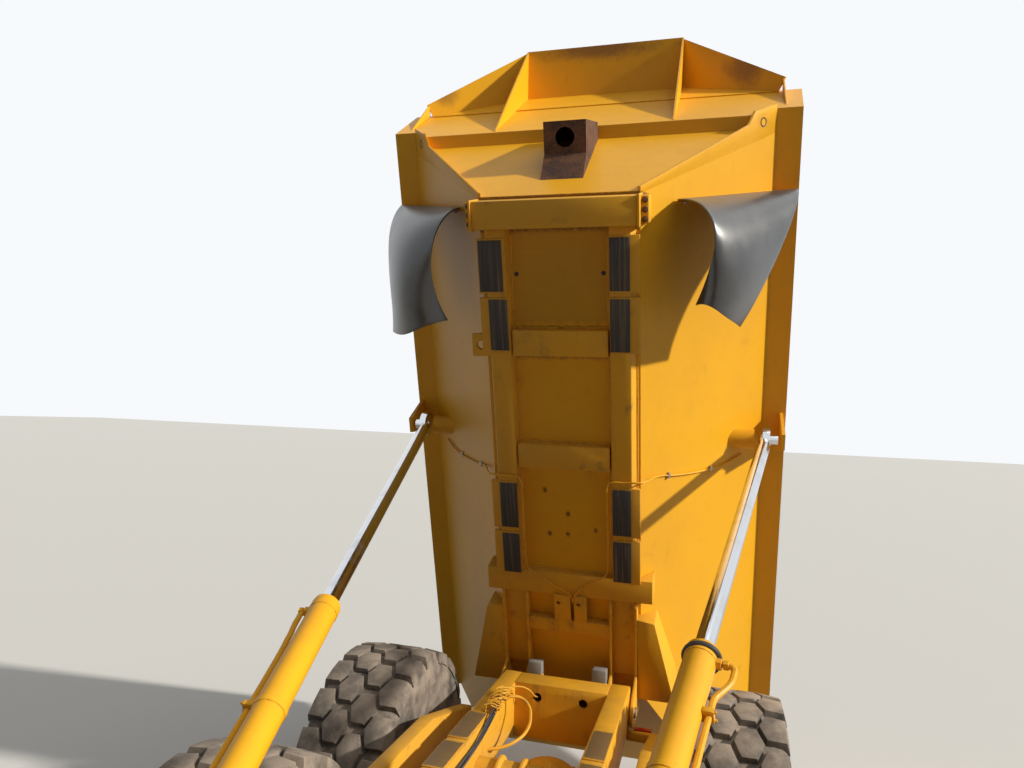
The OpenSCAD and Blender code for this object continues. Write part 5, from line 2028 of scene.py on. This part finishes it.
@dataclass
class DriverSeat(SubAssembly):
    """The driver's seat: a swelled cushion and backrest on a plain base.

    Attributes:
        swell: pressure in the cloth.
        steps: frames that the cloth is given.
        most: how far a point of it may move.
        seam: depth of the sewn channels.
        half: half width of a cushion.
    """

    swell: float = 3.0
    steps: int = 12
    most: float = 0.012
    seam: float = 0.007
    half: float = 0.228

    def pad(self, name: str, outline: list[Pair]) -> Piece:
        """Models one cushion: a rounded form, swelled as cloth, with sewn channels across.

        Args:
            name: the cushion's name.
            outline: its side view, along and up.

        Returns:
            The cushion.
        """
        half = self.half
        pad = slab(name, "X", outline, (-half, half), GROUND, 0.030)
        activate(pad)
        pad.data.remesh_voxel_size = 0.016
        bpy.ops.object.voxel_remesh()
        rest = [point.co.copy() for point in pad.data.vertices]
        cloth = pad.modifiers.new("cloth", "CLOTH")
        cloth.settings.use_pressure, cloth.settings.uniform_pressure_force = True, self.swell
        cloth.settings.effector_weights.gravity = 0.0
        cloth.point_cache.frame_end = self.steps + 2
        for step in range(1, self.steps + 1):
            bpy.context.scene.frame_set(step)
        bpy.ops.object.modifier_apply(modifier=cloth.name)
        bpy.context.scene.frame_set(1)
        for point, start in zip(pad.data.vertices, rest):
            moved = point.co - start
            if moved.length > self.most:
                point.co = start + moved.normalized() * self.most
        modified(pad, "SUBSURF", levels=1, render_levels=1)
        (low, high), (foot, top) = (
            (min(point.co[k] for point in pad.data.vertices), max(point.co[k] for point in pad.data.vertices))
            for k in (1, 2)
        )
        upright = top - foot > high - low
        panel = half * 0.62
        for point in pad.data.vertices:
            along = (point.co.z - foot) / (top - foot) if upright else (point.co.y - low) / (high - low)
            seam = max(0.0, 1.0 - abs(math.sin(along * 5.0 * math.pi)) * 6.0)
            side = max(0.0, 1.0 - abs(abs(point.co.x) - panel) / 0.012)
            sunk = self.seam * max(seam * (abs(point.co.x) < panel), side)
            if upright:
                point.co.y += sunk
            else:
                point.co.z -= sunk
        return smooth(pad, 60.0)

    def build(self) -> None:
        """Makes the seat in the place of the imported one."""
        cushion = self.pad("seat_cushion", [(-6.350, 1.975), (-5.880, 1.975), (-5.900, 2.075), (-6.350, 2.090)])
        back = self.pad("seat_back", [(-5.940, 2.100), (-5.860, 1.990), (-5.775, 2.690), (-5.850, 2.725)])
        for pad in (cushion, back):
            self.fit(pad, Slot.SEAT_FABRIC, "tractor", "driver_seat")
        base = [
            block("seat_base", (-0.180, -6.250, 1.7803), (0.180, -5.900, 1.900), GROUND, 0.015),
            block("seat_plate", (-0.210, -6.330, 1.900), (0.210, -5.880, 1.965), GROUND, 0.012),
            block("seat_spine", (-0.060, -5.880, 1.920), (0.060, -5.830, 2.300), GROUND, 0.010),
        ]
        self.fit(smooth(join("seat_stand", base), 30.0), Slot.DASH_PLASTIC, "tractor")


@dataclass
class CabDressing(SubAssembly):
    """Wiper, window seals, door handle, lamp rims, mirror glass and hood slats of the tractor."""

    def seals(self) -> Piece:
        """The seals of the windscreen, the rear window and the fixed side windows.

        Returns:
            The piece.
        """
        x, low, high = 0.668, 2.252, 3.228
        front = [(-x, -7.112, low), (x, -7.112, low), (x, -7.106, 2.350), (x, -6.858, high), (-x, -6.858, high)]
        front.append((-x, -7.106, 2.350))
        rear = [(-x, -5.590, low), (x, -5.590, low), (x, -5.590, high), (-x, -5.590, high)]
        right, left = (
            [(at, ahead, low), (at, -5.652, low), (at, -5.652, high), (at, ahead, high)]
            for at, ahead in ((-0.748, -6.898), (0.748, -5.988))
        )
        rings = [
            tube(f"seal_{k}", on_ground([*corners, corners[0]]), 0.011, sharp=True)
            for k, corners in enumerate((front, rear, right, left))
        ]
        return join("window_seals", rings)

    def wiper(self) -> Piece:
        """The windscreen wiper with its arm and blade.

        Returns:
            The piece.
        """
        arm = tube("wiper_arm", on_ground([(0.10, -7.130, 2.235), (0.06, -7.128, 2.40), (-0.10, -7.075, 2.72)]), 0.009)
        edge = [(-0.14, -7.118, 2.42), (-0.10, -7.062, 2.72), (-0.05, -6.986, 3.02)]
        blade = tube("wiper_blade", on_ground(edge), 0.008)
        boss = block("wiper_boss", (0.065, -7.165, 2.205), (0.135, -7.115, 2.262), GROUND, 0.010)
        return smooth(join("windscreen_wiper", [arm, blade, boss]), 40.0)

    def handle(self) -> Piece:
        """The door handle on its plate.

        Returns:
            The piece.
        """
        plate = block("handle_plate", (0.7605, -6.180, 2.120), (0.768, -6.070, 2.200), GROUND, 0.003)
        bow = ((0.762, -6.165), (0.792, -6.160), (0.796, -6.125), (0.792, -6.085), (0.762, -6.080))
        grip = tube("handle_grip", on_ground([(x, y, 2.160) for x, y in bow]), 0.008)
        return smooth(join("door_handle", [plate, grip]), 35.0)

    def lamp_rims(self) -> Piece:
        """The rims round the headlamps.

        Returns:
            The piece.
        """
        rims = []
        outline = [(-0.014, 0.078), (-0.018, 0.084), (-0.018, 0.092), (-0.012, 0.096), (0.030, 0.096), (0.030, 0.080)]
        for s in (-1, 1):
            at = GROUND @ Matrix.Translation((0.900 * s, -9.092, 0.860)) @ ALONG_Y
            rims.append(collar(f"lamp_rim_{s}", outline, at, 40))
        return smooth(join("lamp_rims", rims), 30.0)

    def mirror_faces(self) -> Piece:
        """The silvered faces of the two mirrors."""
        face = block("mirror_face", (1.134, -6.9805, 2.398), (1.306, -6.9755, 2.782), GROUND, 0.002)
        return smooth(join("mirror_faces", mirrored([face])), 30.0)

    def louvres(self) -> Piece:
        """The sloping slats of the cooling vents in the hood's sides.

        Returns:
            The piece.
        """
        slat = slab(
            "slat", "Y", [(0.558, -0.022), (0.562, -0.024), (0.574, 0.016), (0.571, 0.020), (0.558, 0.006)],
            (-0.260, 0.260), Matrix.Identity(4), 0.0015,
        )
        slats = [
            clone(slat, f"slat_{k}", GROUND @ Matrix.Translation((0.0, y, 1.330 + 0.055 * k)))
            for k in range(9) for y in (-8.20, -7.58)
        ]
        discard(slat)
        return smooth(join("hood_louvres", mirrored(slats)), 30.0)

    def build(self) -> None:
        """Makes the tractor's small parts."""
        for piece, slot, body in (
            (self.seals(), Slot.BLACK_STEEL, "tractor"),
            (self.wiper(), Slot.BLACK_STEEL, "tractor"),
            (self.lamp_rims(), Slot.BLACK_STEEL, "tractor"),
            (self.mirror_faces(), Slot.CHROME_ROD, "tractor"),
            (self.handle(), Slot.BLACK_STEEL, "cab_door"),
            (self.louvres(), Slot.BLACK_STEEL, "hood"),
        ):
            self.fit(piece, slot, body)


# Stage


@dataclass
class Stage:
    """The pale floor, the soft light and the camera at the photograph's viewing angle.

    Attributes:
        camera_at: the lens, across, ahead of the tip hinge and above the ground.
        heading: the turn to the truck's right, in degrees.
        pitch: the upward tilt, in degrees.
        roll: the tilt of the horizon, in degrees.
        lens: the focal length for a sensor 36 mm wide.
        sky: how strongly the sky lights the truck.
        suns: name, strength, width in degrees, colour and direction towards each lamp.
        grey: tone of the floor as it is seen.
        bounce: share of that tone with which the floor lights the truck.
    """

    camera_at: Triple = (0.968, -5.194, 3.215)
    heading: float = 15.676
    pitch: float = 2.783
    roll: float = 2.493
    lens: float = 25.77
    sky: float = 0.10
    suns: tuple[tuple[str, float, float, Colour, Triple], ...] = (
        ("sun", 4.4, 2.5, (1.0, 0.95, 0.85), (0.89, -0.08, 0.44)),
        ("overhead", 1.1, 60.0, (1.0, 0.95, 0.88), (0.45, -0.10, 1.0)),
    )
    grey: float = 0.62
    bounce: float = 0.42

    def camera(self) -> None:
        """Places the camera."""
        turn, tilt, roll = (math.radians(a) for a in (self.heading, self.pitch, self.roll))
        ahead = Vector((-math.sin(turn) * math.cos(tilt), math.cos(turn) * math.cos(tilt), math.sin(tilt)))
        right = Vector((math.cos(turn), math.sin(turn), 0.0))
        up = right.cross(ahead)
        right, up = right * math.cos(roll) + up * math.sin(roll), up * math.cos(roll) - right * math.sin(roll)
        data = bpy.data.cameras.new("camera")
        data.lens, data.sensor_width, data.clip_end = self.lens, 36.0, 400.0
        camera = bpy.data.objects.new("camera", data)
        bpy.context.scene.collection.objects.link(camera)
        place = Vector(self.camera_at) + Vector((0.0, HINGE.y, 0.0))
        camera.matrix_world = Matrix.Translation(place) @ Matrix((right, up, -ahead)).transposed().to_4x4()
        bpy.context.scene.camera = camera

    def pale(self) -> Finish:
        """A matt surface that is pale to the lens and in reflections, and dimmer as a source of light.

        Returns:
            The material.
        """
        g = Graph("floor_pale")
        path = g.add("ShaderNodeLightPath")
        seen = g.most(path.outputs["Is Camera Ray"], path.outputs["Is Glossy Ray"])
        seen = g.most(seen, path.outputs["Is Transmission Ray"])
        tone, dim = self.grey, self.grey * self.bounce
        g.drive(Base_Color=g.blend(seen, (dim, dim, dim), (tone, tone, tone * 0.985)), Roughness=0.9)
        return g.material

    def floor(self) -> None:
        """Lays the floor."""
        clear_selection()
        bpy.ops.mesh.primitive_plane_add(size=240.0, location=(0.0, 0.0, -0.002))
        floor = bpy.context.object
        floor.name = "floor"
        floor.data.materials.append(self.pale())

    def light(self) -> None:
        """Sets the sky, a sun low on the truck's left and a wide soft one overhead."""
        world = bpy.context.scene.world or bpy.data.worlds.new("world")
        bpy.context.scene.world = world
        world.use_nodes = True
        nodes, links = world.node_tree.nodes, world.node_tree.links
        nodes.clear()
        path = nodes.new("ShaderNodeLightPath")
        seen = path.outputs["Is Camera Ray"]
        for ray in ("Is Glossy Ray", "Is Transmission Ray"):
            most = nodes.new("ShaderNodeMath")
            most.operation = "MAXIMUM"
            links.new(seen, most.inputs[0])
            links.new(path.outputs[ray], most.inputs[1])
            seen = most.outputs[0]
        mix, out = nodes.new("ShaderNodeMixShader"), nodes.new("ShaderNodeOutputWorld")
        links.new(seen, mix.inputs["Fac"])
        for place, colour, strength in ((1, (0.86, 0.93, 1.0, 1.0), self.sky), (2, (0.93, 0.95, 0.97, 1.0), 1.0)):
            sky = nodes.new("ShaderNodeBackground")
            sky.inputs["Color"].default_value, sky.inputs["Strength"].default_value = colour, strength
            links.new(sky.outputs[0], mix.inputs[place])
        links.new(mix.outputs[0], out.inputs["Surface"])
        for name, energy, angle, tone, toward in self.suns:
            data = bpy.data.lights.new(name, "SUN")
            data.energy, data.angle, data.color = energy, math.radians(angle), tone
            sun = bpy.data.objects.new(name, data)
            bpy.context.scene.collection.objects.link(sun)
            sun.rotation_euler = Vector(toward).to_track_quat("Z", "Y").to_euler()

    def build(self) -> None:
        """Sets up everything that isn't the truck."""
        self.camera()
        self.floor()
        self.light()
        bpy.context.scene.view_settings.view_transform = "Standard"


def main() -> None:
    """Dresses the truck and sets the stage."""
    logging.basicConfig(level=logging.INFO, format="%(name)s: %(message)s")
    random.seed(7)
    finishes = Finishes()
    finishes.dress_frame()
    log.info("packed nodes dressed: %d", len(frame["nodes"]))
    for part in (
        Tyre, MudFlaps, Underframe, BodyEdges, Hoists, RearFrame, GreaseLines, FrameLoom, Fasteners, DriverSeat,
        CabDressing,
    ):
        part(finishes).build()
        log.info("%s built", part.__name__)
    Stage().build()
    log.info("stage set")


if __name__ == "__main__":
    main()
